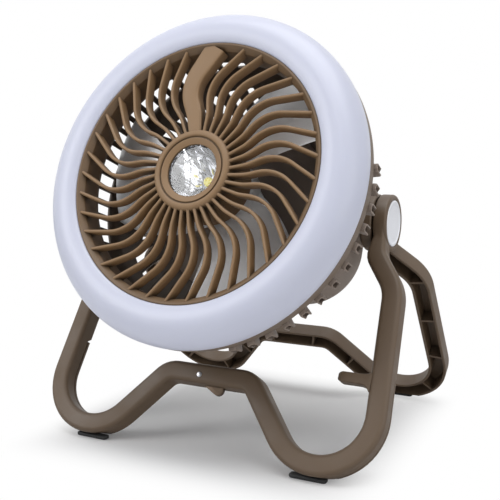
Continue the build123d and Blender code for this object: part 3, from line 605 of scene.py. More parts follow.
class FanSizes(bpy.types.PropertyGroup):
    """Lengths of the fan's visible parts."""
    ring_radius: length("Ring radius", "Outer radius of the light ring", 100.0)
    ring_dome: length("Ring dome", "Radius of the light ring's rounded front", 14.5)
    bezel_radius: length("Bezel radius", "Inner edge of the light ring", 77.8)
    rib_width: length("Rib width", "Width of one thin grille rib", 2.1)
    rib_depth: length("Rib depth", "Depth of a grille rib, front to back", 6.4)
    hub_radius: length("Hub radius", "Outer radius of the grille's hub", 24.1)
    blade_tip: length("Blade tip", "Radius of the impeller's blades", 79.6)
    drum_radius: length("Drum radius", "Outer radius of the rear basket", 88.5)
    fin_tip: length("Cup tip", "Radius of the cups that reach past the rim", 101.3)
    band_width: length("Band width", "Width of the stand's band", 12.0)
    band_depth: length("Band depth", "Depth of the stand's band", 12.0)
    web_pitch: length("Web pitch", "Spacing of the webs in the stand's channel", 33.0)
    rib_count: number("Rib places", "Rib places round the hub; the broad rib takes two", 37, 8)
    fin_count: number("Cups", "Places for cups behind the rim", 56, 8)
    blade_count: number("Blades", "Blades of the impeller", 3, 2)


class FanColours(bpy.types.PropertyGroup):
    """Colours of the fan's finishes."""
    body: colour("Body", "Moulded plastic of rim, basket wall and drum", (0.165, 0.122, 0.090))
    grille: colour("Grille", "Moulded plastic of the grille", (0.240, 0.142, 0.066))
    stand: colour("Stand", "Moulded plastic of the folding stand", (0.110, 0.071, 0.041))
    # the body brown made lighter: on the cups it is a painted highlight; the housing takes the same colour
    housing: colour("Housing", "Moulded plastic of the housing and the cups", (0.250, 0.195, 0.158))
    ring: colour("Ring", "Milky plastic of the light ring", (0.60, 0.62, 0.75))
    blades: colour("Blades", "Impeller", (0.90, 0.90, 0.91))
    caps: colour("Caps", "Brushed pivot caps", (0.87, 0.88, 0.92))


def millimetres(sizes):
    """The length properties as plain numbers in millimetres, and the counts as they are."""
    return types.SimpleNamespace(**{key: getattr(sizes, key) * (1 if "count" in key else 1000.0)
                                    for key in FanSizes.__annotations__})


# ---- head: ring, rim, grille
RING_PLANE, RING_WALL, RING_TUCK, SHELF = 80.0, 2.0, 83.8, 76.8
RIM_SHELF, RIM_BACK = 74.8, 69.0
BEZEL_WALL, BEZEL_FRONT, BEZEL_SLOPE = 4.2, 92.2, 3.4
HUB_BACK, HUB_FRONT, HUB_GROOVE = 62.0, 92.4, 91.0
RIB_FRONT, RIB_BENDS, RIB_STEPS, ROOT_SWELL = 91.4, (30.0, 22.0), 34, 0.35
RIB_TAPER, RIB_NOSE, BROAD_STEPS, BROAD_HALF, BROAD_CROWN = 0.12, 0.86, 40, (4.0, 6.8), 0.25
LENS_BACK, LENS_FRONT, LENS_RADIUS, LENS_OPENING = 87.2, 89.2, 17.0, 15.5
LENS_RISE, LENS_DOME = 1.2, 96.0
BOWL_FLOOR, BOWL_WIDEN, BOWL_DEEPEN, BOWL_WALL = 68.4, 0.86, 1.45, 0.9
FACETS, FACET_ROWS, FACET_SWELL = 9, 3, 0.30
LED_RADIUS, LED_TOP, LED_NECK = 2.6, 73.9, 0.3


def light_ring(s):
    """Outer arc, down inside the bezel, then the same arc inset by the wall, turned round the head axis."""
    outer, bezel, wall = s.ring_radius, s.bezel_radius, RING_WALL
    middle = (outer - s.ring_dome, RING_PLANE)
    lean, inner_lean = (math.degrees(math.asin((middle[0] - bezel - inset) / (s.ring_dome - inset)))
                        for inset in (0.0, wall))
    foot = bent([(outer - wall, RING_PLANE), (outer - wall, SHELF), (outer, SHELF), (outer, RING_PLANE)],
                (0.4, 0.7), 4)
    tuck = bent([(bezel, 92.0), (bezel, RING_TUCK), (bezel + wall, RING_TUCK), (bezel + wall, 90.0)],
                0.4, 3)
    profile = np.concatenate([foot[1:-1], arc(middle, s.ring_dome, 0, 88 + lean, 40), tuck[:-1],
                              arc(middle, s.ring_dome - wall, 90 + inner_lean, 0, 24)])
    made = Shells().add(turned(profile, 288, HEAD), loop_rows=True)
    made.piece("ring_diffuser", "head", "light_diffuser", ("light_ring",))


def rim_band(s):
    """The rim behind the ring: a rounded band with a shallow groove where the ring meets it."""
    edge, inner = s.ring_radius - 0.4, s.bezel_radius - BEZEL_WALL
    profile = rounded([(inner, RIM_SHELF), (edge - 2.2, RIM_SHELF), (edge - 2.2, RIM_BACK),
                       (edge, RIM_BACK), (edge, 75.9), (edge - 0.5, 76.3), (edge - 0.5, SHELF),
                       (inner, SHELF)],
                      (0.3, 0.3, 0.5, 1.4, 0.2, 0.1, 0.2, 0.3), 4)
    made = Shells().add(turned(profile, 240, HEAD), loop_rows=True)
    made.piece("rim_band", "head", "brown_plastic", ("head_rim",), 50)


def grille_frame(s):
    """Bezel and hub: two closed profiles turned round the head axis, with rounded corners."""
    outer, inner, r = s.bezel_radius - 0.1, s.bezel_radius - BEZEL_WALL, s.hub_radius
    bezel = rounded([(outer, SHELF), (outer, BEZEL_FRONT), (outer - 1.3, BEZEL_FRONT),
                     (inner, BEZEL_FRONT - BEZEL_SLOPE), (inner, SHELF)], (0.1, 0.5, 0.6, 0.5, 0.1), 5)
    hub = rounded([(r, HUB_BACK), (r, HUB_FRONT), (r - 4.0, HUB_FRONT), (19.9, HUB_GROOVE),
                   (19.4, HUB_GROOVE), (19.1, 91.9), (LENS_OPENING, 90.6), (LENS_OPENING, LENS_FRONT),
                   (17.1, LENS_FRONT), (17.1, HUB_BACK)],
                  (0.3, 2.4, 1.3, 0.2, 0.2, 0.4, 0.4, 0.1, 0.1, 0.3), 6)
    made = Shells().add(turned(bezel, 240, HEAD), loop_rows=True)
    made.piece("grille_bezel", "head", "bezel_brown", (), 50)
    made = Shells().add(turned(hub, 144, HEAD), loop_rows=True)
    made.piece("grille_frame", "head", "grille_brown", ("front_grille",), 50)


def rib_centreline(s):
    """Corner points of the S that every rib follows: out of the hub, round a bend, across to the bezel."""
    return np.array([(s.hub_radius - 2.1, 2.2), (34.0, 5.2), (50.2, 13.3), (s.bezel_radius - 2.2, -0.6)])


def thin_ribs(s):
    """A section with a round front and a slight taper, carried along the S and repeated round the hub. It
    swells towards the hub by the square of what is left of the path's first twelfth."""
    path = evenly(bent(rib_centreline(s), RIB_BENDS, 12), RIB_STEPS)
    w, back, front = s.rib_width / 2, RIB_FRONT - s.rib_depth, RIB_FRONT
    nose = w - RIB_TAPER
    section = rounded([(-w, back), (w, back), (nose, front), (-nose, front)],
                      (0.3, 0.3, w * RIB_NOSE, w * RIB_NOSE), 5)
    section = np.repeat(section[None], RIB_STEPS, 0)
    root = np.clip(1 - 12 * np.linspace(0, 1, RIB_STEPS), 0, 1)[:, None]
    section[..., 0] *= 1 + ROOT_SWELL * root ** 2
    pitch = 360.0 / s.rib_count
    angles = [90 + pitch * (k + 1.5) for k in range(s.rib_count - 2)]
    made = Shells().add(on(HEAD, spun(carried(path, section), angles)), ends=True)
    made.piece("grille_ribs", "head", "grille_brown", (), 50)


def broad_rib(s):
    """The flat rib: its sides are bent lines either side of the S, joined by a rounded, crowned section."""
    line = rib_centreline(s)
    legs = unit(np.diff(line, axis=0))
    ways = unit(np.array([legs[0], legs[0] + legs[1], legs[1] + legs[2], legs[2]]))
    across = left_of(ways) * np.linspace(*BROAD_HALF, 4)[:, None]
    left = evenly(bent(line + across, (26, 26), 12), BROAD_STEPS)
    right = evenly(bent(line - across, (30, 16), 12), BROAD_STEPS)
    wide = np.linalg.norm(right - left, axis=1)[:, None]
    edge = bent([(0, RIB_FRONT - s.rib_depth), (0, RIB_FRONT), (3, RIB_FRONT)], 1.0, 6)[:-1]
    crown = np.linspace(0.1, 0.9, 9)
    u = np.concatenate([edge[:, 0] / wide, np.repeat(crown[None], BROAD_STEPS, 0),
                        1 - edge[::-1, 0] / wide], 1)
    z = np.concatenate([edge[:, 1], RIB_FRONT + BROAD_CROWN * np.sin(math.pi * crown), edge[::-1, 1]])
    grid = raised(left[:, None] + (right - left)[:, None] * u[..., None], z)
    made = Shells().add(on(HEAD, spun(grid, [90.0])), ends=True)
    made.piece("grille_broad_rib", "head", "grille_brown", (), 50)


# ---- head: spotlight
def spot_lens(s):
    """A clear disc with a low dome: the front is a shallow arc, the edge and back are flat."""
    back = [(r, LENS_BACK) for r in (0.0, 8.0, LENS_RADIUS)]
    front = [(r, LENS_FRONT) for r in (LENS_RADIUS, LENS_OPENING - 0.4)]
    profile = np.concatenate([back, front, dome(LENS_FRONT + LENS_RISE, LENS_DOME, 14.4, 12)])
    made = Shells().add(turned(profile, 96, HEAD))
    made.piece("spot_lens_dome", "head", "clear_lens", ("spot_lens",))


def spot_bowl(s):
    """The reflector: a bowl profile whose radius swells between shallow facets, in three rows that are out
    of step, so that it breaks the room up into bright and dark patches."""
    steps, a = np.linspace(0, 1, 36)[:, None], circle(144)
    low, high = LED_RADIUS + 1.4, LENS_RADIUS - 0.8
    r = low + (high - low) * steps ** BOWL_WIDEN
    z = BOWL_FLOOR + (LENS_BACK - BOWL_FLOOR) * steps ** BOWL_DEEPEN
    row = np.sin(math.pi * steps * FACET_ROWS % math.pi) * (steps < 0.98)
    facet = FACET_SWELL * row * np.cos(FACETS * a + math.pi * np.floor(steps * FACET_ROWS))
    outer = polar(np.minimum(r + BOWL_WALL, LENS_RADIUS), a, z - 0.5)[::-1]
    made = Shells().add(on(HEAD, np.concatenate([polar(r + facet, a, z), outer])), loop_rows=True)
    made.piece("spot_bowl", "head", "mirror_bowl", ("spot_reflector",), 70)


def spot_lamp(s):
    """The yellow lamp: a low dome on a plain round post that stands on the bowl's floor."""
    neck = LED_RADIUS - LED_NECK
    top = arc((0, LED_TOP - 1.0), 1.0, 0, 90, 8) * (neck, 1.0)
    foot = [(0, BOWL_FLOOR), (LED_RADIUS, BOWL_FLOOR), (LED_RADIUS, LED_TOP - 1.4), (neck, LED_TOP - 1.1)]
    made = Shells().add(turned(np.concatenate([foot, top]), 48, HEAD))
    made.piece("spot_lamp", "head", "led_yellow", ("spot_led",))


# ---- head: basket
DRUM_WAIST, DRUM_TURN, DRUM_SHOULDER, DRUM_BACK, DRUM_WALL = 86.0, 42.0, 80.0, 20.0, 2.2
DRUM_STEP, SLOT_LEAN = 7.5, math.radians(0.38)
FIN_FROM, FIN_TO, FIN_BACK, FIN_FRONT = 172.0, 368.0, 58.0, 69.0
FIN_TALL_FROM, FIN_SHORT, FIN_HALF, FIN_FALL = 284.0, 96.5, 2.35, 4.5
FIN_MOUTH = ((0.6, 0.0), (0.15, 0.1), (0.0, 0.45), (0.15, 0.8), (3.2, 0.95))
WINDOW_FROM, WINDOW_TO, WINDOW_LOW, WINDOW_TOP = 55.0, 200.0, 46.0, 66.0
SLOT_OUTER, SLOT_INNER, POD_RADIUS = 77.5, 62.6, 58.6
FIN_COLUMNS, VENT_COLUMNS, VENT_OPEN = 9, 14, 6
CUT_TOP, CUT_LOW, NEAR = 57.5, 50.5, 0.1


def drum(s):
    """A drum profile on a grid of nine columns a fin and fourteen a back slot: quads that lie in a window
    or a slot are left out, the slots lean because the angle drifts with the radius, and a wall is given
    inwards."""
    radius, count = s.drum_radius, s.fin_count
    heights = np.array((RIM_SHELF, 70.5, WINDOW_TOP, 62, FIN_BACK, CUT_TOP, 54, CUT_LOW, 48.2, WINDOW_LOW))
    taper = np.maximum(0, FIN_BACK - heights) / (FIN_BACK - DRUM_TURN)
    side = stacked(radius - (radius - DRUM_WAIST) * taper, heights)
    fall = (DRUM_TURN - DRUM_STEP - DRUM_BACK) / (DRUM_SHOULDER - POD_RADIUS)
    reach = np.array((SLOT_OUTER, 74, 70, 66, SLOT_INNER, 60.5, POD_RADIUS + NEAR))
    back = stacked(reach, DRUM_BACK + (reach - POD_RADIUS) * fall)
    corner = bent([side[-1], (DRUM_WAIST, DRUM_TURN), (DRUM_WAIST - 1.7, DRUM_TURN - 4.0),
                   (DRUM_SHOULDER, DRUM_TURN - DRUM_STEP), back[0]], (12.0, 7.0, 16.0))[1:-1]
    profile = np.concatenate([side, corner, back])
    column = np.arange(count * FIN_COLUMNS)
    r, z = profile[:, :1], profile[:, 1:]
    drift = SLOT_LEAN * np.minimum(0, r - 78.0)
    grid = polar(r, (column + 0.5) * 2 * math.pi / len(column) + drift, z)
    place, spare = column // FIN_COLUMNS * 360.0 / count, column % FIN_COLUMNS
    upper = (place - WINDOW_FROM) % 360 < WINDOW_TO - WINDOW_FROM
    finned = (place - FIN_FROM) % 360 < FIN_TO - FIN_FROM

    def between(value, high, low):
        """Quads whose value is nowhere above high or below low."""
        return (value[:-1] <= high + NEAR) & (value[1:] >= low - NEAR)

    window = upper & (spare >= 1) & (spare <= 6) & between(z, WINDOW_TOP, WINDOW_LOW)
    cut = finned & ~upper & (spare >= 2) & (spare <= 5) & between(z, CUT_TOP, CUT_LOW)
    vent = ((column - 1) % VENT_COLUMNS < VENT_OPEN) & between(r, SLOT_OUTER, SLOT_INNER)
    made = Shells().add(on(HEAD, grid), drop=window | cut | vent)
    # the drum's colour is the body brown with painted shade
    piece = made.piece("basket_drum", "head", "drum_brown", ("rear_basket",))
    wall = piece.modifiers.new("wall", "SOLIDIFY")
    wall.thickness, wall.offset = DRUM_WALL / 1000.0, -1.0
    wall.use_quality_normals = True


def fins(s):
    """Cups behind the rim: a rounded oblong carried outwards, its mouth turned in to a pocket, and its back
    drawn down by a quarter circle. Those of the right side reach past the rim, the rest stay behind it."""
    root, half = s.drum_radius - 0.8, np.array([FIN_HALF, (FIN_FRONT - FIN_BACK) / 2])
    middle = np.array([0.0, (FIN_FRONT + FIN_BACK) / 2])
    loop = oblong(*half, (2.3, 2.3, 1.7, 1.7), 8)
    places = FIN_FROM + (np.arange(s.fin_count) * 360.0 / s.fin_count - FIN_FROM) % 360
    made = Shells()
    for tip, low, high in ((FIN_SHORT, FIN_FROM, FIN_TALL_FROM), (s.fin_tip, FIN_TALL_FROM, FIN_TO)):
        rows = []
        for back, inset in ((tip - root, 0.0),) + FIN_MOUTH:
            ring = middle + loop * (1 - inset / half)
            below = np.clip(FIN_BACK + FIN_FALL - ring[:, 1], 0, FIN_FALL)
            drop = FIN_FALL - np.sqrt(FIN_FALL ** 2 - below ** 2)
            rows.append(stacked(np.maximum(tip - back - drop * (back < tip - root), root), *ring.T))
        chosen = places[(places >= low) & (places < high)]
        made.add(on(HEAD, spun(np.array(rows), chosen)), ends=True)
    # painted highlight: the cups take the lighter housing brown
    made.piece("basket_fins", "head", "housing_brown", (), 50)


# ---- impeller
CUP_RADIUS, CUP_FRONT, CUP_BACK, CUP_WALL = 22.0, 60.5, 44.0, 2.0
BLADE_PLANE, BLADE_HALF, BLADE_BOW, BLADE_LIFT, BLADE_RISE = 52.0, 1.9, 3.2, 0.55, (15.0, 6.0)
LOW_EDGE, HIGH_EDGE = (35, 11, 0.7), (132, 58, 0.55)


def impeller(s):
    """A domed cup and broad blades: along a blade the low edge stays almost radial while the high edge
    sweeps back, and across it the height rises with the angle and bows forward; both faces close round the
    edges."""
    inner = CUP_RADIUS - CUP_WALL
    cup = bent([(0, CUP_FRONT), (CUP_RADIUS, CUP_FRONT), (CUP_RADIUS, CUP_BACK), (inner, CUP_BACK),
                (inner, CUP_FRONT - CUP_WALL), (0, CUP_FRONT - CUP_WALL)], (6.0, 0.5, 0.5, 4.0), 8)
    made = Shells().add(turned(np.insert(cup, 1, (4, CUP_FRONT), 0), 96, HEAD))
    out = np.linspace(0, 1, 26)[:, None]
    r = CUP_RADIUS - 1.0 + (s.blade_tip - CUP_RADIUS + 1.0) * out
    low, high = (np.radians(start - sweep * out ** bend) for start, sweep, bend in (LOW_EDGE, HIGH_EDGE))
    loop = circle(44)
    u = 0.5 - 0.5 * np.cos(loop)
    bulge = np.sin(math.pi * u)
    thick = BLADE_HALF * np.sin(loop) * (0.55 + 0.45 * bulge)
    fade = np.clip((1 - out) * 14, 0, 1) ** 0.5
    rise = BLADE_RISE[0] + BLADE_RISE[1] * out
    z = BLADE_PLANE + rise * (0.5 - u) + BLADE_BOW * bulge + thick * BLADE_LIFT * fade
    blade = polar(r, low + (high - low) * u, z)
    made.add(on(HEAD, spun(blade, np.arange(s.blade_count) * 360.0 / s.blade_count)), ends=True)
    made.piece("impeller_blades", "rotor", "blade_grey", ("impeller",), 60)


# ---- head: back
COVER_BACK, SCREW_CIRCLE, SCREW_RADIUS = -16.6, 51.1, 2.8
CROSS_HALF, CROSS_REACH, CROSS_DEPTH = 0.48, 1.75, 0.75
SCREW_ROWS = (0, 0.3, 0.6, 0.9, 1.2, 1.5, 1.8, 2.2, 2.5, 2.72, SCREW_RADIUS, SCREW_RADIUS)
CHEEK_HALF, CHEEK_CORNER = (71.3, 53.2), 36.0
CHEEK_ROWS = ((-14.0, 3.2), (-13.6, 1.6), (-12.4, 0.4), (-10.6, 0.0), (4.0, 0.0), (9.0, 0.8), (12.4, 3.0),
              (13.8, 5.6))
BUTTONS = ((-15.0, "fan_push", "fan_key", "fan_button"), (15.0, "light_push", "light_key", "light_button"))
BUTTON_HEIGHT, BUTTON_RADIUS, BUTTON_TOP, BUTTON_DISH = 20.0, 6.0, -18.2, 22.4
FLANGE_RADIUS, FLANGE_FRONT, FLANGE_BACK = 7.4, -12.7, -13.7


def housing(s):
    """The pod and its cover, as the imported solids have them."""
    solid_copy("rear_housing", "housing_shell", "housing_brown", 0.5)
    solid_copy("rear_cover", "housing_cover", "housing_brown", 0.3)


def cheeks(s):
    """The smooth body that joins the pod to the pivots: a rounded oblong drawn in at both its rims."""
    rows = []
    for z, inset in CHEEK_ROWS:
        across, along = (half - inset for half in CHEEK_HALF)
        rows.append(raised(oblong(across, along, CHEEK_CORNER - inset, 24), z))
    made = Shells().add(on(HEAD, np.array(rows)), ends=True)
    made.piece("housing_cheeks", "head", "housing_brown")


def cover_screws(s):
    """Pan heads: a low dome whose height drops inside a cross of four slots, four times round the cover."""
    r, a = np.array(SCREW_ROWS)[:, None], circle(48)
    near = np.minimum(np.abs(r * np.cos(a)), np.abs(r * np.sin(a)))
    cross = np.clip((CROSS_HALF - near) / 0.12, 0, 1) * np.clip((CROSS_REACH - r) / 0.25, 0, 1)
    height = 1.4 - 0.075 * r ** 2 - CROSS_DEPTH * cross
    height[-2:] = [[0.55], [0.0]]
    shank = np.array([(SCREW_RADIUS, 0), (1.5, 0), (1.5, 3.5), (0, 3.5)]) + (0, COVER_BACK)
    made = Shells()
    for turn in np.radians((45, 135, 225, 315)):
        middle = SCREW_CIRCLE * np.array([math.cos(turn), math.sin(turn), 0])
        made.add(on(HEAD, polar(r, a, COVER_BACK - height) + middle))
        made.add(turned(shank, 48, HEAD, middle))
    made.piece("cover_screw_heads", "head", "steel", ("cover_screws",), 30)


def buttons(s):
    """Push buttons: a flange, a straight wall, a rounded shoulder and a dished top."""
    flange = [(0, FLANGE_FRONT), (FLANGE_RADIUS, FLANGE_FRONT), (FLANGE_RADIUS, FLANGE_BACK),
              (BUTTON_RADIUS, FLANGE_BACK)]
    wall = bent([(BUTTON_RADIUS, -14.0), (BUTTON_RADIUS, BUTTON_TOP), (4.6, BUTTON_TOP)], 0.8, 6)[1:]
    profile = np.concatenate([flange, wall, dome(BUTTON_TOP + 0.4, BUTTON_DISH, 4.6, 8)])
    for aside, name, body, node in BUTTONS:
        made = Shells().add(turned(profile, 72, HEAD, (aside, BUTTON_HEIGHT, 0)))
        made.piece(name, body, "button_grey", (node,), 35)


# ---- stand
CHANNEL_WALL, EDGE_ROUND, PAD_TOP = 1.8, 2.8, 2.0
MID_DROP, MID_CORNER = 111.0, 28.0
KNEE, SHOULDER_DROP = (102.5, 46.0), 26.0
BENDS = (10.0, 25.0, 30.5, 12.0, 12.0, 30.5, 25.0, 10.0)
BOSS_MIDDLE, EYE_MIDDLE, BOSS_WIDTH, EYE_WIDTH, BOSS_RADIUS = 88.5, 80.0, 8.2, 7.2, 17.5
REAR_ARM, CAP_REACH, CAP_SHARE = 82.4, 14.8, 0.84
BORE, CAP_SEAT, CAP_RECESS = 5.05, 14.1, 1.7
COVER_TOP, COVER_INNER, COVER_DEPTH, COVER_GAP = 98.0, 70.0, 2.4, 0.45
SLOT_FROM, SLOT_TO, SLOT_DEPTH = -14.0, 18.0, 6.0
LIP_ROUND, CHANNEL_LOW, SWELL_EASE, NARROWING = 0.35, 5.0, 1.2, 14.0
WEB_HALF, WEB_HEIGHTS = (0.7, 4.7), (0.5, 10.6)
DIAGONAL, LEAN = math.tan(math.radians(50.7)), math.tan(math.radians(3.0))
TONGUE_DROP, TONGUE_HEIGHT, TONGUE_ROOT, BRACE_FROM, TONGUE_BRACE = 101.0, 7.0, 99.8, 92.0, 2.8
TONGUE_X = (80.4, 80.7, 81.4, 83.0, 86.0, 90.0, 94.0, 96.6, 98.4, 99.6, 100.4)
TONGUE_SWELL = (0.55, 0.66, 0.82, 1.0, 1.0, 1.0, 1.0, 1.04, 1.16, 1.4, 1.6)
PAD_HALF, RIDGE_PITCH, RIDGE_DEPTH = 11.0, 1.6, 0.06
PAD_ROWS = ((0.0, 0.5), (0.25, 0.15), (0.6, 0.0), (1.6, 0.0), (1.9, 0.15), (2.0, 0.3))
CAP_RIM = ((14.0, -CAP_RECESS), (14.0, -0.1), (13.2, 0.05), (12.3, 0.05), (12.2, -0.12), (12.0, -0.12))
CAP_DOME = 300


def frame_line(arm_x, top, step=2.0):
    """The band's centreline from arm to arm: through knees, feet and middle bar, at even steps."""
    foot_x = (KNEE[0] + (MID_DROP - KNEE[1] - MID_CORNER * DIAGONAL) * LEAN) / (1 - DIAGONAL * LEAN)
    foot = (foot_x, -MID_DROP - (foot_x - MID_CORNER) * DIAGONAL)
    half = [(MID_CORNER, -MID_DROP), foot, (KNEE[0], -KNEE[1]), (arm_x, -SHOULDER_DROP), (arm_x, -top)]
    line = bent([(-x, y) for x, y in reversed(half)] + half, BENDS, 24)
    total = np.linalg.norm(np.diff(line, axis=0), axis=1).sum()
    return evenly(line, int(total / step))


def band_section(s, left, right, narrow):
    """The channel's outline at every station: a round-shouldered band, hollow from below, whose two lips
    may stand higher, and which is narrowed where it meets the pivot eye."""
    half, depth, wall = s.band_width / 2, s.band_depth, CHANNEL_WALL
    inner = half - wall
    outside = bent([(-half, CHANNEL_LOW), (-half, depth), (half, depth), (half, CHANNEL_LOW)],
                   EDGE_ROUND, 7)[1:-1]
    inside = bent([(inner, CHANNEL_LOW), (inner, depth - wall), (-inner, depth - wall),
                   (-inner, CHANNEL_LOW)], 0.8, 4)[1:-1]

    def lip(side, height):
        """Four points from the outer to the inner edge of a lip, the edges a little higher."""
        x = side * (half - wall * np.array((0.0, 0.2, 0.8, 1.0)))
        return stacked(x, height[:, None] + (LIP_ROUND, 0.0, 0.0, LIP_ROUND))

    outside, inside = (np.repeat(part[None], len(narrow), 0) for part in (outside, inside))
    outline = np.concatenate([outside, lip(1, right), inside, lip(-1, left)[:, ::-1]], 1)
    outline[..., 0] *= narrow[:, None]
    return outline


def grounded(grid):
    """Points with those below the pads' flat pressed up to it."""
    grid[..., 2] = np.maximum(grid[..., 2], PAD_TOP)
    return grid


def stand_band(s, front):
    """The band, its webs and its two pivot eyes. It narrows smoothly to its arms, then swells up to the
    barrels of the eyes; the front one leaves room for the foot covers, the hook and the caps."""
    basis, arm_x, arm_width, eye_x = ((FRONT_LEG, BOSS_MIDDLE, BOSS_WIDTH, BOSS_MIDDLE) if front
                                      else (REAR_LEG, REAR_ARM, EYE_WIDTH, EYE_MIDDLE))
    line = frame_line(arm_x, 8.0)
    x, down = line[:, 0], -line[:, 1]
    near, share = np.clip((down - NARROWING) / NARROWING, 0, 1), arm_width / s.band_width
    narrow = share + (1 - share) * near ** 2 * (3 - 2 * near)
    narrow = narrow * np.where((down < CAP_REACH) & front, CAP_SHARE, 1.0)
    foot = (down > COVER_TOP) & (np.abs(x) > COVER_INNER) & front
    left = np.where(foot, COVER_DEPTH + COVER_GAP, 0.0)
    right = np.where((x > SLOT_FROM) & (x < SLOT_TO) & front, SLOT_DEPTH, left)
    section = band_section(s, left, right, narrow)
    barrel = np.sqrt(np.clip(BOSS_RADIUS ** 2 - down ** 2, 0, None))
    swell = SWELL_EASE * np.logaddexp(0, (barrel - s.band_depth) / SWELL_EASE)
    section[..., 1] *= (1 + swell / s.band_depth)[:, None]
    made = Shells().add(grounded(on(basis, carried(line, section))), ends=True)
    webs = evenly(frame_line(arm_x, 21.0), int(len(line) * 2.0 / s.web_pitch) + 1)[1:-1]
    x, down = webs[:, 0], -webs[:, 1]
    beside_hook = (x > SLOT_FROM - 1) & (x < SLOT_TO + 1)
    keep = ~((beside_hook | (down > COVER_TOP + 2) & (np.abs(x) > COVER_INNER + 2)) & front)
    plates = blocks(webs[keep], ahead(webs)[keep], WEB_HALF, WEB_HEIGHTS)
    made.add(grounded(on(basis, plates)), ends=True)
    inner, outer = eye_x - arm_width / 2, eye_x + arm_width / 2
    if front:
        seat = outer - CAP_RECESS
        eye = rounded([(BORE, inner), (BOSS_RADIUS, inner), (BOSS_RADIUS, outer), (CAP_SEAT + 0.8, outer),
                       (CAP_SEAT, outer - 0.5), (CAP_SEAT, seat), (BORE, seat)],
                      (0.3, 1.4, 1.6, 0.3, 0.15, 0.1, 0.1), 6)
    else:
        bore = BORE + 0.03
        eye = rounded([(bore, inner), (BOSS_RADIUS, inner), (BOSS_RADIUS, outer), (bore, outer)],
                      (0.3, 1.2, 1.2, 0.3), 6)
    for side in (-1, 1):
        made.add(turned(eye * (1, side), 120, PIVOT_LINE), loop_rows=True)
    return made


def front_stand(s):
    """Front band with its webs and eyes, and the strip under the hook's slot."""
    bar = stacked(np.linspace(SLOT_FROM, SLOT_TO, 12), -MID_DROP)
    strip = rounded([(-6.0, 0.0), (-6.0, 2.7), (-4.2, 2.7), (-4.2, 0.0)], 0.2, 3)
    made = stand_band(s, True).add(on(FRONT_LEG, carried(bar, strip)), ends=True)
    made.piece("front_band", "front_stand", "stand_brown", ("front_frame",), 38)


def catch_tongue(s):
    """A bar from the leg's inner face: a rounded section carried inwards whose nose shrinks to a chamfer,
    whose root swells into the leg and whose underside falls off as a cube to brace it."""
    x, swell = np.array([TONGUE_X, TONGUE_SWELL])[..., None]
    across, along = oblong(3.0, 4.0, 0.9).T
    brace = TONGUE_BRACE * np.clip((x - BRACE_FROM) / (TONGUE_ROOT - BRACE_FROM), 0, 1) ** 3
    y = -TONGUE_DROP + across * swell - brace * (across < 0)
    z = TONGUE_HEIGHT + along * np.minimum(swell, 1.12)
    made = Shells().add(on(FRONT_LEG, stacked(x, y, z)), ends=True)
    made.piece("catch_tongue", "front_stand", "stand_brown", (), 38)


def foot_covers(s):
    """A thin plate with rounded lips carried along the foot, one each side."""
    line, half = frame_line(BOSS_MIDDLE, 14.0, 1.5), s.band_width / 2
    section = rounded([(-half, 0.0), (-half, COVER_DEPTH), (half, COVER_DEPTH), (half, 0.0)],
                      (0.8, 0.15, 0.15, 0.8), 4)
    made = Shells()
    for side in (-1, 1):
        part = line[(-line[:, 1] > COVER_TOP) & (line[:, 0] * side > COVER_INNER)]
        made.add(grounded(on(FRONT_LEG, carried(part, section))), ends=True)
    made.piece("foot_covers", "front_stand", "stand_brown", ("front_foot_covers",), 38)


def rear_stand(s):
    """Rear band with its webs and eyes."""
    stand_band(s, False).piece("rear_band", "rear_stand", "stand_brown", ("rear_frame",), 38)


def foot_pads(s):
    """Rubber pads: a rounded oblong carried upwards, drawn in at its rims and finely ridged along x."""
    for body in ("front_stand", "rear_stand"):
        node = body.replace("stand", "pads")
        low, high = (np.array(corner) * 1000.0 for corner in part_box(node))
        depth = (high[1] - low[1]) / 2
        made = Shells()
        for side in (-1, 1):
            middle = (side * (abs(high[0]) - PAD_HALF), (high[1] + low[1]) / 2)
            rows = []
            for z, inset in PAD_ROWS:
                x, y = oblong(PAD_HALF - inset, depth - inset, 1.6, 6).T
                ridge = RIDGE_DEPTH * np.cos(x * 2 * math.pi / RIDGE_PITCH) * (0.3 < z < 1.8)
                rows.append(raised(stacked(x, 0.97 * y + ridge * np.sign(y)) + middle, z))
            made.add(np.array(rows), ends=True)
        made.piece(node.replace("_", "_foot_"), body, "rubber_pad", (node,), 50)


# ---- fittings
def pivot_caps(s):
    """Silver caps: a shallow dome with a bevelled rim and a fine groove, turned round the pivot line."""
    face = BOSS_MIDDLE + BOSS_WIDTH / 2
    rim = bent(np.array(CAP_RIM) + (0, face), 0.12, 4)
    profile = np.concatenate([[(0.0, face - CAP_RECESS)], rim, dome(face + 0.08, CAP_DOME, 11.9, 8)])
    made = Shells()
    for side in (-1, 1):
        made.add(turned(profile * (1, side), 120, PIVOT_LINE))
    made.piece("pivot_cap_discs", "front_stand", "silver_cap", ("pivot_caps",), 30)


def hook(s):
    """The hanging hook and its pin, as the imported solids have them."""
    solid_copy("hang_hook", "hook_blade", "hook_brown", 0.4)
    solid_copy("hook_pin", "hook_rivet", "steel", 0.2)


def dress_rest(s):
    """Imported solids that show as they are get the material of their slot."""
    slots = dict(ring_board="board_white", ring_leds="led_yellow", spot_plate="silver_cap",
                 control_board="board_green", indicator_lights="light_pipe", battery_cells="cell_wrap",
                 battery_cradle="cradle_black", pivot_washers="nylon")
    steel = ("motor", "motor_shaft", "motor_screws", "charge_socket", "pivot_bolts")
    slots |= dict.fromkeys(steel, "steel")
    for name, slot in slots.items():
        node = frame["nodes"][name]
        node.data.materials.clear()
        node.data.materials.append(FINISHES[slot])


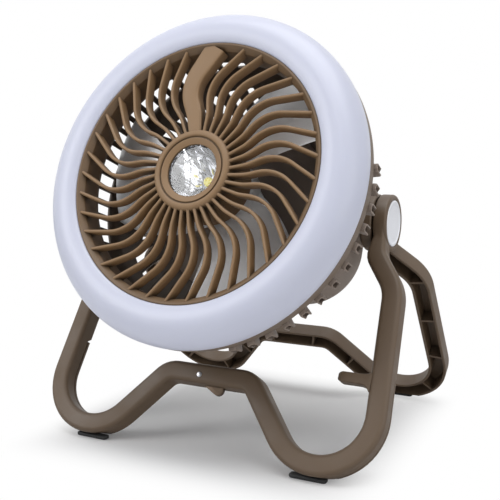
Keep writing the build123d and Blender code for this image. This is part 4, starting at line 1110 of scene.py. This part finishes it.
# ---- stage
CAMERA_AT, CAMERA_TO, CAMERA_LENS = (0.23358, -0.46094, 0.18194), (-0.00556, 0.014386, 0.112), 57.99
FLOOR_RINGS, FLOOR_SIDES, FLOOR_DROP = (0.0, 0.5, 1.5, 4.0, 9.0), 96, -0.0001
WHITE, PAINT, SEEN_PAINT = (1, 1, 1, 1), (0.84, 0.84, 0.84, 1), (0.93, 0.93, 0.93, 1)
SKY, SKY_STRENGTH = (0.95, 0.97, 1.0, 1), 0.36
LAMPS = (("overhead", (0.1, -0.15, 1.2), (0, 0, 0.1), 0.9, 8.0),
         ("key", (-0.75, -0.85, 0.75), (0, 0, 0.12), 0.6, 4.6),
         ("fill", (0.95, -0.35, 0.45), (0, 0, 0.12), 0.6, 1.8))


def aimed(name, data, place, target):
    """A camera or lamp at a place, turned towards a point."""
    item = bpy.data.objects.new(name, data)
    item.location, item.rotation_mode = place, "QUATERNION"
    item.rotation_quaternion = (Vector(target) - Vector(place)).to_track_quat("-Z", "Y")
    bpy.context.scene.collection.objects.link(item)
    return item


def camera(s):
    """The camera on its view line, with the long lens the view needs."""
    data = bpy.data.cameras.new("camera")
    data.lens, data.sensor_width = CAMERA_LENS, 36.0
    data.clip_start, data.clip_end = 0.01, 20.0
    bpy.context.scene.camera = aimed("camera", data, CAMERA_AT, CAMERA_TO)


def seen(tree, *kinds):
    """One where the ray is of one of the kinds, else zero."""
    ray = put(tree, "LightPath")
    share = ray[f"Is {kinds[0]} Ray"]
    for kind in kinds[1:]:
        share = worked(tree, "MAXIMUM", share, ray[f"Is {kind} Ray"])
    return share


def mixed(tree, share, low, high, out):
    """Feeds an output node with a mix of two shaders."""
    tree.links.new(put(tree, "MixShader", Fac=share, _1=low, _2=high)[0], tree.nodes[out].inputs["Surface"])


def floor(s):
    """A pale floor: plain paint, and to the camera partly a white of strength 1, so that its far edge meets
    the white world while it keeps the shadows."""
    grid = polar(np.array(FLOOR_RINGS)[:, None], circle(FLOOR_SIDES), FLOOR_DROP)
    mesh = bpy.data.meshes.new("floor")
    quads = sheet_faces(len(FLOOR_RINGS), FLOOR_SIDES, False, True)
    mesh.from_pydata(grid.reshape(-1, 3).tolist(), [], quads.tolist())
    with opened(mesh) as work:
        merged(work)
        for face in work.faces:
            if face.normal.z < 0:
                face.normal_flip()
    ground = bpy.data.objects.new("floor", mesh)
    bpy.context.scene.collection.objects.link(ground)
    material, tree = shaded("pale floor")
    shader = tree.nodes["Principled BSDF"]
    shader.inputs["Roughness"].default_value = 0.8
    tree.links.new(blended(tree, seen(tree, "Camera"), PAINT, SEEN_PAINT), shader.inputs["Base Color"])
    place = put(tree, "SeparateXYZ", Vector=here(tree))
    far = worked(tree, "SMOOTH_MAX", worked(tree, "ABSOLUTE", place["X"]),
                 worked(tree, "ABSOLUTE", place["Y"]), 0.03)
    rise = ranged(tree, far, 0, 1, 0.07, 0.12, interpolation_type="SMOOTHSTEP")
    white = put(tree, "Emission", Color=WHITE, Strength=1.0)["Emission"]
    share = worked(tree, "MULTIPLY", seen(tree, "Camera", "Transmission"), rise)
    mixed(tree, share, shader.outputs["BSDF"], white, "Material Output")
    mesh.materials.append(material)


def studio(s):
    """White surroundings that the camera and glossy rays see at strength 1, and three soft lamps."""
    world = bpy.context.scene.world = bpy.data.worlds.new("studio")
    world.use_nodes = True
    tree = world.node_tree
    dim = tree.nodes["Background"]
    dim.inputs["Color"].default_value, dim.inputs["Strength"].default_value = SKY, SKY_STRENGTH
    bright = put(tree, "Background", Color=WHITE, Strength=1.0)["Background"]
    mixed(tree, seen(tree, "Camera", "Transmission", "Glossy"), dim.outputs["Background"], bright,
          "World Output")
    for name, place, target, size, power in LAMPS:
        data = bpy.data.lights.new(name, "AREA")
        data.energy, data.size = power, size
        aimed(name, data, place, target)


# ---- operators
class FanOperator:
    """What the operators share: each makes its pieces from the scene's sizes."""
    bl_options = {"REGISTER", "UNDO"}

    def execute(self, context):
        """Makes the pieces one after the other."""
        sizes = millimetres(context.scene.fan_sizes)
        for make in self.pieces:
            make(sizes)
        return {"FINISHED"}


class FAN_OT_finishes(FanOperator, bpy.types.Operator):
    """Makes every material and the shader groups that they share"""
    bl_idname, bl_label = "fan.finishes", "Finishes"
    pieces = (finish_all,)


class FAN_OT_ring(FanOperator, bpy.types.Operator):
    """Makes the light ring's diffuser and the rim behind it"""
    bl_idname, bl_label = "fan.ring", "Light ring and rim"
    pieces = (light_ring, rim_band)


class FAN_OT_grille(FanOperator, bpy.types.Operator):
    """Makes the grille: bezel, hub, thin ribs and the broad rib"""
    bl_idname, bl_label = "fan.grille", "Grille"
    pieces = (grille_frame, thin_ribs, broad_rib)


class FAN_OT_spotlight(FanOperator, bpy.types.Operator):
    """Makes the spotlight's lens, bowl and lamp"""
    bl_idname, bl_label = "fan.spotlight", "Spotlight"
    pieces = (spot_lens, spot_bowl, spot_lamp)


class FAN_OT_basket(FanOperator, bpy.types.Operator):
    """Makes the rear basket's drum and its cups"""
    bl_idname, bl_label = "fan.basket", "Rear basket"
    pieces = (drum, fins)


class FAN_OT_impeller(FanOperator, bpy.types.Operator):
    """Makes the impeller"""
    bl_idname, bl_label = "fan.impeller", "Impeller"
    pieces = (impeller,)


class FAN_OT_back(FanOperator, bpy.types.Operator):
    """Makes the rear housing, its cover, screws and buttons"""
    bl_idname, bl_label = "fan.back", "Housing and buttons"
    pieces = (housing, cheeks, cover_screws, buttons)


class FAN_OT_stand(FanOperator, bpy.types.Operator):
    """Makes the two stand bands, the foot covers, the catch tongue and the pads"""
    bl_idname, bl_label = "fan.stand", "Folding stand"
    pieces = (front_stand, catch_tongue, foot_covers, rear_stand, foot_pads)


class FAN_OT_fittings(FanOperator, bpy.types.Operator):
    """Makes the pivot caps, the hook and its pin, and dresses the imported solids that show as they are"""
    bl_idname, bl_label = "fan.fittings", "Fittings"
    pieces = (pivot_caps, hook, dress_rest)


class FAN_OT_stage(FanOperator, bpy.types.Operator):
    """Makes the camera, the floor and the soft studio light"""
    bl_idname, bl_label = "fan.stage", "Stage"
    pieces = (camera, floor, studio)


class FAN_PT_panel(bpy.types.Panel):
    """Lists the fan's sizes, colours and pieces"""
    bl_label, bl_idname = "Camping fan", "FAN_PT_panel"
    bl_space_type, bl_region_type, bl_category = "VIEW_3D", "UI", "Camping fan"

    def draw(self, context):
        """One column for the settings and one button for each group of pieces."""
        column = self.layout.column()
        for group in (context.scene.fan_colours, context.scene.fan_sizes):
            for key in group.__annotations__:
                column.prop(group, key)
        for step in STEPS:
            column.operator(step.bl_idname)


STEPS = (FAN_OT_finishes, FAN_OT_ring, FAN_OT_grille, FAN_OT_spotlight, FAN_OT_basket, FAN_OT_impeller,
         FAN_OT_back, FAN_OT_stand, FAN_OT_fittings, FAN_OT_stage)
CLASSES = (FanSizes, FanColours) + STEPS + (FAN_PT_panel,)


def register():
    """Registers the classes and puts the settings on the scene."""
    for item in CLASSES:
        bpy.utils.register_class(item)
    bpy.types.Scene.fan_sizes = bpy.props.PointerProperty(type=FanSizes)
    bpy.types.Scene.fan_colours = bpy.props.PointerProperty(type=FanColours)


def unregister():
    """Takes the settings and the classes away again."""
    del bpy.types.Scene.fan_colours, bpy.types.Scene.fan_sizes
    for item in reversed(CLASSES):
        bpy.utils.unregister_class(item)


def main():
    """Builds everything in order."""
    register()
    for step in STEPS:
        group, call = step.bl_idname.split(".")
        getattr(getattr(bpy.ops, group), call)()
    bpy.context.scene.view_settings.view_transform = "Standard"
    bpy.context.view_layer.update()


if __name__ == "__main__":
    main()
